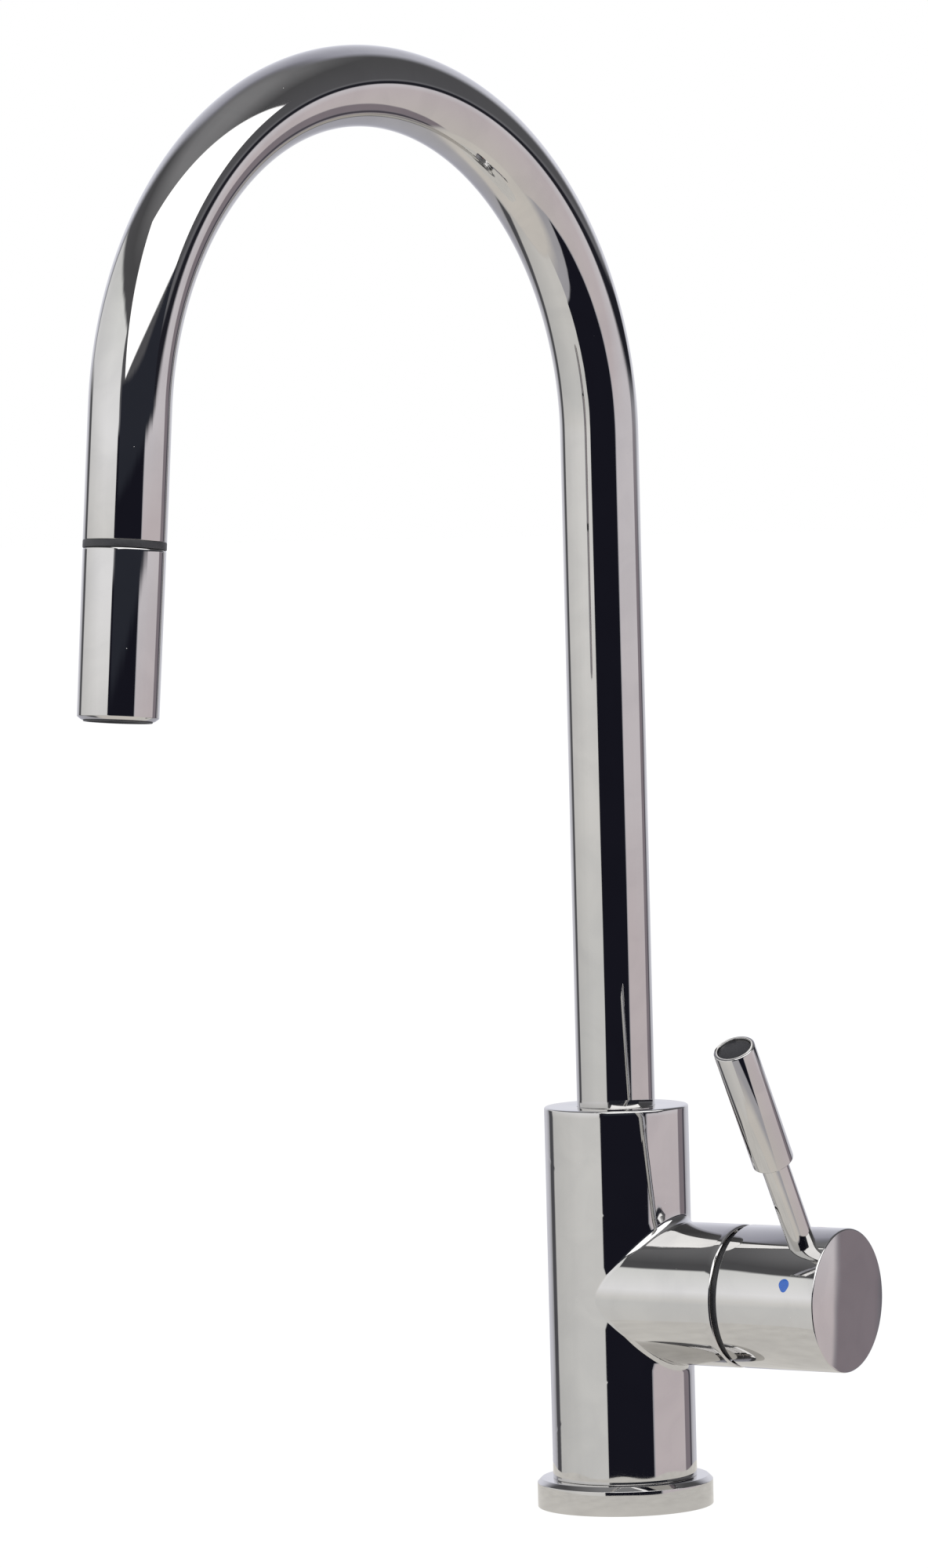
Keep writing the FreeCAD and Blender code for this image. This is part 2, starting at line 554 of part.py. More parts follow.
# ---------------------------------------------------------------- valve body: trunk, branch and waterways
def make_valve_body():
    """One casting: the trunk with the spout's socket, the branch with the cartridge's seat, and the ports."""
    body = new_body("valve_body")
    foot = size.flange_height
    trunk = new_sketch(body, "trunk_outline", "XZ_Plane")
    draw_outline(trunk, (
        (0, foot - size.spigot_drop),
        (size.spigot_dia / 2, foot - size.spigot_drop),
        (size.spigot_dia / 2, foot),
        (body_r, foot),
        (body_r, size.body_top - size.body_bevel),
        (body_r - size.body_bevel, size.body_top),
        (0, size.body_top),
    ))
    revolution = body.newObject("PartDesign::Revolution", "trunk_turning")
    revolution.Profile = trunk
    revolution.ReferenceAxis = (trunk, ["V_Axis"])
    revolution.Angle = 360
    body.Tip = revolution
    doc.recompute()

    branch = new_sketch(body, "branch_outline", "XZ_Plane", up=size.branch_height)
    draw_outline(branch, (
        (0, 0),
        (size.branch_reach, 0),
        (size.branch_reach, branch_r - size.branch_chamfer),
        (size.branch_reach - size.branch_chamfer, branch_r),
        (0, branch_r),
    ))
    side = body.newObject("PartDesign::Revolution", "branch_turning")
    side.Profile = branch
    side.ReferenceAxis = (branch, ["H_Axis"])
    side.Angle = 360
    body.Tip = side
    doc.recompute()
    blend_branch(body, side)

    socket = new_sketch(body, "socket_outline", "XZ_Plane")
    bore_r = tube_r + size.running_gap
    draw_outline(socket, (
        (0, swivel_plane),
        (tube_bore_r, swivel_plane),
        (tube_bore_r, socket_floor),
        (bore_r, socket_floor),
        (bore_r, size.body_top + OVERSHOOT),
        (0, size.body_top + OVERSHOOT),
    ))
    recess = new_sketch(body, "recess_outline", "XZ_Plane")
    draw_outline(recess, (
        (0, foot - size.spigot_drop - 1),
        (shank_r, foot - size.spigot_drop - 1),
        (shank_r, recess_roof),
        (0, recess_roof),
    ))
    chamber = new_sketch(body, "cartridge_outline", "XZ_Plane", up=size.branch_height)
    chamber_r = size.cartridge_dia / 2 + size.cartridge_gap
    draw_outline(chamber, (
        (seat, 0),
        (seat, chamber_r),
        (size.housing_shoulder, chamber_r),
        (size.housing_shoulder, size.bonnet_dia / 2),
        (size.branch_reach + OVERSHOOT, size.bonnet_dia / 2),
        (size.branch_reach + OVERSHOOT, 0),
    ))
    for name, sketch, axis in (
        ("spout_socket", socket, "V_Axis"),
        ("shank_recess", recess, "V_Axis"),
        ("cartridge_chamber", chamber, "H_Axis"),
    ):
        before = body.Shape.Volume
        groove = body.newObject("PartDesign::Groove", name)
        groove.Profile = sketch
        groove.ReferenceAxis = (sketch, [axis])
        groove.Angle = 360
        body.Tip = groove
        doc.recompute()
        if not body.Shape.Volume < before - 1:
            raise RuntimeError(f"{name} cuts nothing")

    passage = passage_path(body, "passage_path", recess_roof - OVERSHOOT, swivel_plane + OVERSHOOT)
    mouth = section(body, "passage_section", recess_roof - 1, [hose_r + size.hose_gap], -size.hose_shift)
    swept("hose_passage", passage, mouth, body, body_frame, cut=True)

    inlets = [(size.inlet_forward, side, size.inlet_dia / 2) for side in (size.inlet_side, -size.inlet_side)]
    outlet = [(size.outlet_forward, 0, size.outlet_thread_dia / 2)]
    drill(body, "inlet_threads", inlets + outlet, size.inlet_depth, shift=recess_roof, backwards=True)
    risers = [(size.inlet_forward, side, channel_r) for side in (size.inlet_side, -size.inlet_side)]
    drill(body, "inlet_risers", risers, high_ports - port_roof, shift=port_roof, backwards=True)
    outlet_riser = [(size.outlet_forward, 0, channel_r)]
    drill(body, "outlet_riser", outlet_riser, mixed_port - port_roof, shift=port_roof, backwards=True)
    crossings = [(side, high_ports, channel_r) for side in (size.inlet_side, -size.inlet_side)]
    drill(body, "inlet_crossings", crossings, seat - size.inlet_forward, "YZ_Plane", seat)
    drill(body, "outlet_crossing", [(0, mixed_port, channel_r)], seat - size.outlet_forward, "YZ_Plane", seat)
    drill(body, "lock_hole", [(0, size.lock_height, size.lock_dia / 2)], body_r, "XZ_Plane")
    keep(body, body_frame)


def blend_branch(body, joined):
    """Rounds the inner corner where the branch runs into the trunk."""
    corner = []
    for number, edge in enumerate(joined.Shape.Edges, start=1):
        if edge.Curve.TypeId == "Part::GeomBSplineCurve":
            corner.append(f"Edge{number}")
    blend = body.newObject("PartDesign::Fillet", "branch_blend")
    blend.Base = (joined, corner)
    blend.setExpression("Radius", size.branch_fillet.formula)
    body.Tip = blend
    doc.recompute()


make_valve_body()

# ---------------------------------------------------------------- base: flange, gasket, shank and clamp
gasket_in = size.gasket_inner_dia / 2
gasket_out = gasket_in + size.gasket_width
flange_r = size.flange_dia / 2
flange_bore = size.spigot_dia / 2 + size.running_gap
turned("base_flange", (
    (flange_bore, 0),
    (gasket_in, 0),
    (gasket_in, size.gasket_depth),
    (gasket_out, size.gasket_depth),
    (gasket_out, 0),
    (flange_r, 0),
    (flange_r, size.flange_height - size.flange_chamfer),
    (flange_r - size.flange_chamfer, size.flange_height),
    (flange_bore, size.flange_height),
))
turned("deck_gasket", (
    (gasket_in + size.running_gap, 0),
    (gasket_out - size.running_gap, 0),
    (gasket_out - size.running_gap, size.gasket_depth),
    (gasket_in + size.running_gap, size.gasket_depth),
))
ring_bore = shank_r + size.running_gap
centring_r = size.centring_dia / 2
spigot_foot = size.flange_height - size.spigot_drop
turned("centring_ring", (
    (ring_bore, -size.centring_drop),
    (centring_r - size.centring_bevel, -size.centring_drop),
    (centring_r, size.centring_bevel - size.centring_drop),
    (centring_r, 0),
    (size.spigot_dia / 2, 0),
    (size.spigot_dia / 2, spigot_foot),
    (ring_bore, spigot_foot),
))
turned("mounting_shank", (
    (size.shank_bore / 2, -size.shank_end),
    (shank_r - size.end_bevel, -size.shank_end),
    (shank_r, size.end_bevel - size.shank_end),
    (shank_r, size.relief_low),
    (shank_r - size.relief_depth, size.relief_low),
    (shank_r - size.relief_depth, size.relief_high),
    (shank_r, size.relief_high),
    (shank_r, recess_roof - size.port_drop),
    (size.shank_bore / 2, recess_roof - size.port_drop),
))

gasket_top = -size.deck_thickness
washer_top = gasket_top - size.clamp_gasket_height
washer_foot = washer_top - size.clamp_washer_height
nut_top = washer_foot - size.nut_stand_off
nut_foot = nut_top - size.nut_height
washer_bore = shank_r + size.clamp_gap
for label, top, foot, outer in (
    ("clamp_gasket", gasket_top, washer_top, size.clamp_gasket_dia / 2),
    ("clamp_washer", washer_top, washer_foot, size.clamp_washer_dia / 2),
):
    turned(label, ((washer_bore, foot), (outer, foot), (outer, top), (washer_bore, top)))

nut = turned("mounting_nut", (
    (shank_r + size.running_gap, nut_foot),
    (size.nut_dia / 2, nut_foot),
    (size.nut_dia / 2, nut_top),
    (shank_r + size.running_gap, nut_top),
), body_frame)
jack_circle = size.jack_circle_dia / 2
jack_hole = drill(nut, "jack_hole", [(jack_circle, 0, size.jack_dia / 2)], size.nut_height, shift=nut_top)
polar(nut, "jack_holes", jack_hole, JACKS)
notch_mouth = -size.nut_dia / 2 - OVERSHOOT
notch_floor = size.nut_notch_depth - size.nut_dia / 2
notch_sketch = new_sketch(nut, "notch_outline", "XY_Plane", nut_top)
draw_outline(notch_sketch, (
    (notch_mouth, -size.nut_notch / 2),
    (notch_floor, -size.nut_notch / 2),
    (notch_floor, size.nut_notch / 2),
    (notch_mouth, size.nut_notch / 2),
))
doc.recompute()
notch = pocket(nut, "spanner_notch", notch_sketch, size.nut_height)
polar(nut, "spanner_notches", notch, JACKS)

screws = []
for number in range(JACKS):
    angle = 2 * math.pi * number / JACKS
    across, along = jack_circle * math.cos(angle), jack_circle * math.sin(angle)
    pieces = []
    for end, radius, height, foot in (
        ("rod", size.jack_dia / 2, size.jack_length, washer_foot - size.jack_length),
        ("head", size.jack_head_dia / 2, size.jack_head_height,
         washer_foot - size.jack_length - size.jack_head_height),
    ):
        solid = doc.addObject("Part::Cylinder", f"jack_{end}_{number}")
        solid.setExpression("Radius", radius.formula)
        solid.setExpression("Height", height.formula)
        for axis, place in zip("xyz", (across, along, foot)):
            solid.setExpression(f"Placement.Base.{axis}", place.formula)
        pieces.append(solid)
    screw = doc.addObject("Part::Fuse", f"jack_screw_{number}")
    screw.Base, screw.Tool = pieces
    screws.append(screw)
group("jack_screws", screws, body_frame)

# ---------------------------------------------------------------- spout: tube, sleeve, rings and lock
tube = new_body("spout_tube")
tube_route = arch_path(tube, "tube_path", tube_foot, size.leg_straight)
tube_section = section(tube, "tube_section", tube_foot, [tube_r, tube_bore_r])
swept("spout_tube", tube_route, tube_section, tube, upright)

turned("spout_rest_ring", (
    (sleeve_r + size.face_gap * 2, socket_floor),
    (tube_r, socket_floor),
    (tube_r, socket_floor + size.rest_ring_height),
    (sleeve_r + size.face_gap * 2, socket_floor + size.rest_ring_height),
))

ring_floor_r = sleeve_r - size.ring_section
lock_floor_r = sleeve_r - size.lock_groove_depth
lock_low = size.lock_height - size.lock_groove_width / 2
lock_high = size.lock_height + size.lock_groove_width / 2
turned("spout_sleeve", (
    (tube_bore_r - size.sleeve_wall, sleeve_foot),
    (sleeve_r, sleeve_foot),
    (sleeve_r, size.ring_low),
    (ring_floor_r, size.ring_low),
    (ring_floor_r, size.ring_low + size.ring_width),
    (sleeve_r, size.ring_low + size.ring_width),
    (sleeve_r, lock_low),
    (lock_floor_r, lock_low),
    (lock_floor_r, lock_high),
    (sleeve_r, lock_high),
    (sleeve_r, size.ring_high),
    (ring_floor_r, size.ring_high),
    (ring_floor_r, size.ring_high + size.ring_width),
    (sleeve_r, size.ring_high + size.ring_width),
    (sleeve_r, tube_foot),
    (tube_bore_r, tube_foot),
    (tube_bore_r, socket_floor + size.sleeve_rise),
    (tube_bore_r - size.sleeve_wall, socket_floor + size.sleeve_rise),
))
friction_rings = [
    ring(f"friction_ring_{number}", sleeve_r + size.running_gap / 2, ring_floor_r, size.ring_width,
         (ZERO, ZERO, low))
    for number, low in enumerate((size.ring_low, size.ring_high))
]
group("spout_friction_rings", friction_rings)

lock_tip_r = lock_floor_r + size.lock_tip_gap
lock_start = tube_bore_r + size.face_gap * 2
lock_frame = frame_of(UP * size.lock_height.value, Vector(UP), UP.cross(branch_way))
turned("spout_lock_screw", (
    (0, lock_tip_r),
    (size.lock_tip_dia / 2, lock_tip_r),
    (size.lock_tip_dia / 2, lock_start),
    (size.lock_dia / 2, lock_start),
    (size.lock_dia / 2, lock_start + size.lock_length),
    (0, lock_start + size.lock_length),
), lock_frame)

# ---------------------------------------------------------------- hose runs and the outlet pipe
hose = new_body("hose_in_spout")
hose_route = arch_path(hose, "hose_path", swivel_plane + size.face_gap, None)
hose_section = section(hose, "hose_section", swivel_plane + size.face_gap, [hose_r])
swept("hose_in_spout", hose_route, hose_section, hose, upright)

lower_hose = new_body("hose_in_body")
lower_route = passage_path(lower_hose, "lower_hose_path", -size.hose_end, swivel_plane)
lower_section = section(lower_hose, "lower_hose_section", -size.hose_end, [hose_r], -size.hose_shift)
swept("hose_in_body", lower_route, lower_section, lower_hose, body_frame)

back_of_axis = body_frame.multVec(Vector(-size.hose_shift.value, 0, 0))
fitting_frame = frame_of(back_of_axis, Vector(branch_way), Vector(UP))
fitting_foot = -size.hose_end - size.hose_fitting_length
fitting_r = size.hose_fitting_dia / 2
turned("hose_lower_fitting", (
    (size.hose_end_bore / 2, fitting_foot),
    (fitting_r - size.hose_fitting_step, fitting_foot),
    (fitting_r - size.hose_fitting_step, fitting_foot + size.hose_fitting_thread),
    (fitting_r, fitting_foot + size.hose_fitting_thread),
    (fitting_r, -size.hose_end),
    (size.hose_end_bore / 2, -size.hose_end),
), fitting_frame)
turned("hose_in_leg", ((0, 0), (hose_r, 0), (hose_r, size.ferrule_start), (0, size.ferrule_start)), leg_frame)

front_of_axis = body_frame.multVec(Vector(size.outlet_forward.value, 0, 0))
pipe_frame = frame_of(front_of_axis, Vector(branch_way), Vector(UP))
pipe_r = size.outlet_pipe_dia / 2
turned("mixed_outlet_pipe", (
    (channel_r, -size.outlet_pipe_end),
    (pipe_r, -size.outlet_pipe_end),
    (pipe_r, recess_roof),
    (size.outlet_thread_dia / 2, recess_roof),
    (size.outlet_thread_dia / 2, port_roof),
    (channel_r, port_roof),
), pipe_frame)

# ---------------------------------------------------------------- mixer cartridge, fixed pieces
cartridge_r = size.cartridge_dia / 2
base_top = seat + size.base_height
fixed_top = base_top + size.disc_height
ports = [(size.port_high, side) for side in (size.inlet_side, -size.inlet_side)] + [(-size.port_mixed, ZERO)]
port_circles = [(up, side, channel_r) for up, side in ports]

base = turned("cartridge_base", (
    (0, seat), (cartridge_r, seat), (cartridge_r, base_top), (0, base_top),
), branch_frame)
drill(base, "base_ports", port_circles, size.base_height, shift=base_top)
seal_circles = [(up, side, size.seal_dia / 2) for up, side in ports]
drill(base, "seal_seats", seal_circles, size.seal_height, shift=seat, backwards=True)
seals = [
    ring(f"port_seal_{number}", size.seal_dia / 2, channel_r, size.seal_height, (up, side, seat))
    for number, (up, side) in enumerate(ports)
]
group("cartridge_seals", seals, branch_frame)

housing_bore_r = size.housing_bore / 2
fixed_disc = turned("fixed_ceramic_disc", (
    (0, base_top),
    (housing_bore_r, base_top),
    (housing_bore_r, fixed_top),
    (0, fixed_top),
), branch_frame)
drill(fixed_disc, "fixed_disc_ports", port_circles, size.disc_height, shift=fixed_top)
lid_floor = size.housing_shoulder - size.housing_lid
turned("cartridge_housing", (
    (housing_bore_r, base_top),
    (cartridge_r, base_top),
    (cartridge_r, size.housing_shoulder),
    (size.neck_dia / 2, size.housing_shoulder),
    (size.neck_dia / 2, size.neck_end),
    (size.neck_bore / 2, size.neck_end),
    (size.neck_bore / 2, lid_floor),
    (housing_bore_r, lid_floor),
), branch_frame)
turned("cartridge_nut", (
    (size.neck_dia / 2 + size.bonnet_gap, size.housing_shoulder),
    (size.bonnet_dia / 2, size.housing_shoulder),
    (size.bonnet_dia / 2, size.branch_reach + size.collar_height),
    (size.bonnet_head_dia / 2, size.branch_reach + size.collar_height),
    (size.bonnet_head_dia / 2, size.bonnet_end),
    (size.neck_dia / 2 + size.bonnet_gap, size.bonnet_end),
), branch_frame)
turned("trim_collar", (
    (size.bonnet_dia / 2, size.branch_reach),
    (size.collar_dia / 2, size.branch_reach),
    (size.collar_dia / 2, size.branch_reach + size.collar_height),
    (size.bonnet_dia / 2, size.branch_reach + size.collar_height),
), branch_frame)

# ---------------------------------------------------------------- mixer cartridge, moving pieces
moving_floor = fixed_top + size.face_gap
moving_top = moving_floor + size.disc_height
driver_top = moving_top + size.driver_height
moving_r = size.moving_disc_dia / 2
moving_disc = turned("moving_ceramic_disc", (
    (0, moving_floor), (moving_r, moving_floor), (moving_r, moving_top), (0, moving_top),
), handle_frame)
drill(moving_disc, "mixing_chamber", [(-size.chamber_low, 0, size.chamber_dia / 2)],
      size.disc_height / 2, shift=moving_floor, backwards=True)
ball_r = size.ball_dia / 2
turned("disc_driver", (
    (ball_r + size.ball_gap, moving_top),
    (moving_r, moving_top),
    (moving_r, driver_top),
    (ball_r + size.ball_gap, driver_top),
), handle_frame)

guide_r = housing_bore_r - size.running_gap
guide_height = size.guide_high - size.guide_low
guide = turned("mixer_guide", (
    (0, size.guide_low), (guide_r, size.guide_low), (guide_r, size.guide_high), (0, size.guide_high),
), handle_frame)
half_slot = size.stem_square / 2 + size.stem_gap
slot_sketch = new_sketch(guide, "guide_slot_outline", "XY_Plane", size.guide_high)
draw_outline(slot_sketch, (
    (-size.guide_slot_open, -half_slot),
    (size.guide_slot_back, -half_slot),
    (size.guide_slot_back, half_slot),
    (-size.guide_slot_open, half_slot),
))
doc.recompute()
pocket(guide, "guide_slot", slot_sketch, guide_height)
pin_circle = [(0, size.pivot_reach, size.pin_dia / 2)]
drill(guide, "guide_pin_hole", pin_circle, size.housing_bore, "XZ_Plane", size.housing_bore / 2)

pivot_centre = branch_centre + branch_way * size.pivot_reach.value
pivot_frame = frame_of(pivot_centre, Vector(branch_way), branch_way.cross(lever_way))
turned("pivot_pin", (
    (0, -size.pin_length / 2),
    (size.pin_dia / 2, -size.pin_length / 2),
    (size.pin_dia / 2, size.pin_length / 2),
    (0, size.pin_length / 2),
), pivot_frame)

# ---------------------------------------------------------------- valve stem
stem = new_body("valve_stem")
half_square = size.stem_square / 2
stem_sketch = new_sketch(stem, "stem_square_outline", "XY_Plane", size.stem_root)
draw_outline(stem_sketch, (
    (-half_square, -half_square),
    (half_square, -half_square),
    (half_square, half_square),
    (-half_square, half_square),
))
stem_pad = stem.newObject("PartDesign::Pad", "stem_square_pad")
stem_pad.Profile = stem_sketch
stem_pad.setExpression("Length", (size.stem_tip - size.stem_root).formula)
stem.Tip = stem_pad
doc.recompute()
ball_centre = size.pivot_reach - size.arm_length
arm_sketch = new_sketch(stem, "stem_arm_circle", "XY_Plane", ball_centre)
draw_circles(arm_sketch, [(0, 0, size.stem_arm_dia / 2)])
arm = stem.newObject("PartDesign::Pad", "stem_arm")
arm.Profile = arm_sketch
arm.setExpression("Length", (size.stem_root - ball_centre + OVERSHOOT).formula)
stem.Tip = arm
doc.recompute()
ball = stem.newObject("PartDesign::AdditiveSphere", "stem_ball")
ball.AttachmentSupport = (origin_plane(stem, "XY_Plane"), [""])
ball.MapMode = "FlatFace"
ball.setExpression("AttachmentOffset.Base.z", ball_centre.formula)
ball.setExpression("Radius", ball_r.formula)
stem.Tip = ball
doc.recompute()
stem_hole = [(0, size.pivot_reach, size.pin_dia / 2 + size.running_gap)]
drill(stem, "stem_pin_hole", stem_hole, size.stem_square + 2 * OVERSHOOT, "XZ_Plane",
      half_square + OVERSHOOT)
keep(stem, handle_frame)

# ---------------------------------------------------------------- handle: cap, lever, grip, marks, screw
rim_start = size.branch_reach + size.cap_gap
cap_bore_r = branch_r - size.cap_wall
rim_r = branch_r - size.cap_rim
cap = turned("handle_cap", (
    (0, size.boss_start),
    (size.boss_dia / 2, size.boss_start),
    (size.boss_dia / 2, size.cap_solid),
    (cap_bore_r, size.cap_solid),
    (cap_bore_r, rim_start + (rim_r - cap_bore_r)),
    (rim_r, rim_start),
    (branch_r, rim_start),
    (branch_r, size.cap_end - size.cap_bevel),
    (branch_r - size.cap_bevel, size.cap_end),
    (0, size.cap_end),
), handle_frame)
square_sketch = new_sketch(cap, "stem_socket_outline", "XY_Plane", size.boss_start)
draw_outline(square_sketch, (
    (-half_square, -half_square),
    (half_square, -half_square),
    (half_square, half_square),
    (-half_square, half_square),
))
doc.recompute()
pocket(cap, "stem_socket", square_sketch, size.stem_tip - size.boss_start + OVERSHOOT, backwards=True)


def drill_cap(name, place, diameter, low, high, angle=0):
    """Drills the cap square to its axis, at an angle from the lever, between two radii."""
    sketch = cap.newObject("Sketcher::SketchObject", name + "_circle")
    sketch.AttachmentSupport = (origin_plane(cap, "YZ_Plane"), [""])
    sketch.MapMode = "FlatFace"
    radians = math.radians(angle)
    out = Vector(math.cos(radians), math.sin(radians), 0)
    world = frame_of(out * low.value, Vector(-out.y, out.x, 0), Vector(out))
    plane = frame_of(Vector(), Vector(0, 1, 0), Vector(1, 0, 0))
    sketch.AttachmentOffset = plane.inverse().multiply(world)
    draw_circles(sketch, [(0, place, diameter / 2)])
    doc.recompute()
    return pocket(cap, name, sketch, high - low, backwards=True)


cap_outside = branch_r + OVERSHOOT
boss_outside = size.boss_dia / 2 + OVERSHOOT
drill_cap("lever_thread", size.lever_place, size.lever_thread_dia, size.lever_root, cap_outside)
drill_cap("lever_seat", size.lever_place, size.lever_dia, size.lever_seat, cap_outside)
drill_cap("grub_thread", size.grub_place, size.grub_dia, half_square - OVERSHOOT, boss_outside, 180)
drill_cap("grub_access", size.grub_place, size.grub_hole_dia, boss_outside, cap_outside, 180)
index_floor = branch_r - size.index_depth
index_top = branch_r - size.face_gap
for label, angle in (("cold_index", size.index_turn), ("hot_index", -size.index_turn)):
    drill_cap(label + "_hole", size.index_place, size.index_dia, index_floor, cap_outside, angle.value)
    turned(label, (
        (0, index_floor),
        (size.index_dia / 2, index_floor),
        (size.index_dia / 2, index_top),
        (0, index_top),
    ), beside_branch(size.index_place, angle.value))

turned("handle_set_screw", (
    (0, half_square),
    (size.grub_dia / 2, half_square),
    (size.grub_dia / 2, size.boss_dia / 2),
    (0, size.boss_dia / 2),
), beside_branch(size.grub_place, 180))

lever_frame = beside_branch(size.lever_place, 0)
tenon_end = size.grip_start + size.tenon_length
turned("lever_stem", (
    (0, size.lever_root),
    (size.lever_thread_dia / 2, size.lever_root),
    (size.lever_thread_dia / 2, size.lever_seat),
    (size.lever_dia / 2, size.lever_seat),
    (size.lever_dia / 2, size.grip_start),
    (size.tenon_dia / 2, size.grip_start),
    (size.tenon_dia / 2, tenon_end),
    (0, tenon_end),
), lever_frame)
grip_r = size.grip_dia / 2
plug_floor = size.grip_end - size.plug_sink - size.plug_height
turned("lever_grip", (
    (size.tenon_dia / 2, size.grip_start),
    (grip_r - size.grip_bevel, size.grip_start),
    (grip_r, size.grip_start + size.grip_bevel),
    (grip_r, size.grip_end - size.grip_bevel),
    (grip_r - size.grip_bevel, size.grip_end),
    (size.plug_dia / 2, size.grip_end),
    (size.plug_dia / 2, plug_floor),
    (0, plug_floor),
    (0, tenon_end),
    (size.tenon_dia / 2, tenon_end),
), lever_frame)
turned("grip_end_plug", (
    (0, plug_floor),
    (size.plug_dia / 2, plug_floor),
    (size.plug_dia / 2, plug_floor + size.plug_height),
    (0, plug_floor + size.plug_height),
), lever_frame)

# ---------------------------------------------------------------- docking collar and the hose's upper end
dock_r = tube_bore_r - size.dock_wall
head_top = size.leg_straight + size.dock_ring
turned("docking_collar", (
    (dock_r, size.leg_straight - size.dock_depth),
    (tube_bore_r, size.leg_straight - size.dock_depth),
    (tube_bore_r, size.leg_straight),
    (tube_r, size.leg_straight),
    (tube_r, head_top - size.face_gap),
    (dock_r, head_top - size.face_gap),
), leg_frame)

spigot_top = head_top - size.head_spigot
nut_head_top = spigot_top - size.swivel_head_height
ferrule_end = nut_head_top - size.ferrule_gap
fitting_top = ferrule_end - size.ferrule_overlap
swivel_end = spigot_top + size.swivel_thread
flange_top = swivel_end + size.face_gap
flange_foot = flange_top + size.hose_end_flange
neck_r = size.hose_neck_dia / 2
hose_bore_r = size.hose_end_bore / 2
turned("hose_ferrule", (
    (hose_bore_r, size.ferrule_start),
    (size.ferrule_dia / 2, size.ferrule_start),
    (size.ferrule_dia / 2, ferrule_end),
    (neck_r, ferrule_end),
    (neck_r, fitting_top),
    (hose_bore_r, fitting_top),
), leg_frame)
turned("hose_end_fitting", (
    (hose_bore_r, fitting_top),
    (neck_r, fitting_top),
    (neck_r, flange_top),
    (size.hose_end_flange_dia / 2, flange_top),
    (size.hose_end_flange_dia / 2, flange_foot),
    (hose_bore_r, flange_foot),
), leg_frame)

# ---------------------------------------------------------------- spray head
thread_r = size.hose_thread_dia / 2
swivel_head_r = dock_r - size.swivel_head_gap
turned("hose_swivel_nut", (
    (neck_r + size.running_gap, nut_head_top),
    (swivel_head_r, nut_head_top),
    (swivel_head_r, spigot_top),
    (thread_r, spigot_top),
    (thread_r, swivel_end),
    (neck_r + size.running_gap, swivel_end),
), leg_frame)
gasket_start = flange_foot + size.face_gap
thread_floor = spigot_top + size.thread_depth
turned("head_gasket", (
    (hose_bore_r, gasket_start),
    (thread_r, gasket_start),
    (thread_r, thread_floor),
    (hose_bore_r, thread_floor),
), leg_frame)
valve_r = size.valve_dia / 2
throat_top = thread_floor + size.valve_length
turned("check_valve", (
    (size.valve_bore / 2, thread_floor),
    (valve_r, thread_floor),
    (valve_r, throat_top),
    (size.valve_bore / 2, throat_top),
), leg_frame)
core_r = size.head_bore / 2
core_foot = head_top + size.core_length
chamber_top = head_top + size.core_chamber_top
chamber_r = size.core_chamber_dia / 2
turned("head_core", (
    (thread_r, spigot_top),
    (dock_r - size.head_spigot_gap, spigot_top),
    (dock_r - size.head_spigot_gap, head_top),
    (core_r, head_top),
    (core_r, core_foot),
    (chamber_r, core_foot),
    (chamber_r, chamber_top),
    (size.throat_dia / 2, chamber_top),
    (size.throat_dia / 2, throat_top),
    (valve_r, throat_top),
    (valve_r, thread_floor),
    (thread_r, thread_floor),
), leg_frame)
head_foot = head_top + size.head_length
aerator_r = size.aerator_dia / 2
turned("head_shell", (
    (core_r, head_top),
    (size.head_top_dia / 2 - size.head_bevel, head_top),
    (size.head_top_dia / 2, head_top + size.head_bevel),
    (size.head_low_dia / 2, head_foot - size.head_bevel),
    (size.head_low_dia / 2 - size.head_bevel, head_foot),
    (aerator_r, head_foot),
    (aerator_r, core_foot),
    (core_r, core_foot),
), leg_frame)
lip_foot = head_foot + size.aerator_lip
ledge = core_foot + size.aerator_ledge
turned("aerator_housing", (
    (size.aerator_throat / 2, core_foot - size.aerator_spigot),
    (chamber_r, core_foot - size.aerator_spigot),
    (chamber_r, core_foot),
    (aerator_r, core_foot),
    (aerator_r, head_foot),
    (size.aerator_lip_dia / 2, head_foot),
    (size.aerator_lip_dia / 2, lip_foot),
    (size.aerator_bore / 2, lip_foot),
    (size.aerator_bore / 2, ledge),
    (size.aerator_throat / 2, ledge),
), leg_frame)
insert_top = ledge + size.aerator_gasket_height
insert_foot = lip_foot - size.aerator_recess
turned("aerator_gasket", (
    (size.aerator_throat / 2, ledge),
    (size.aerator_bore / 2, ledge),
    (size.aerator_bore / 2, insert_top),
    (size.aerator_throat / 2, insert_top),
), leg_frame)
insert = turned("aerator_insert", (
    (0, insert_top),
    (size.aerator_bore / 2, insert_top),
    (size.aerator_bore / 2, insert_foot),
    (0, insert_foot),
), leg_frame)
drill(insert, "centre_jet", [(0, 0, size.jet_dia / 2)], insert_foot - insert_top, shift=insert_foot)
jet = drill(insert, "outer_jet", [(size.jet_circle_dia / 2, 0, size.jet_dia / 2)], insert_foot - insert_top,
            shift=insert_foot)
polar(insert, "outer_jets", jet, OUTER_JETS)

# ---------------------------------------------------------------- check and write
doc.recompute()
for item in doc.Objects:
    if "Invalid" in item.State or "Error" in item.State:
        raise RuntimeError(f"{item.Label} failed: {item.State}")
os.makedirs("parts", exist_ok=True)
for piece in parts:
    shape = piece.Shape
    if shape.isNull() or not shape.isValid():
        raise RuntimeError(f"{piece.Label} has no valid shape")
    shape.exportStep(os.path.join("parts", piece.Label + ".step"))
    solids = len(shape.Solids)
    print(f"{piece.Label}: {solids} solid(s), {shape.Volume / 1000:.3f} cm3")
print(len(parts), "pieces")
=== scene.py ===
import json
import math
from functools import partial

import bmesh
import bpy
from mathutils import Matrix, Vector


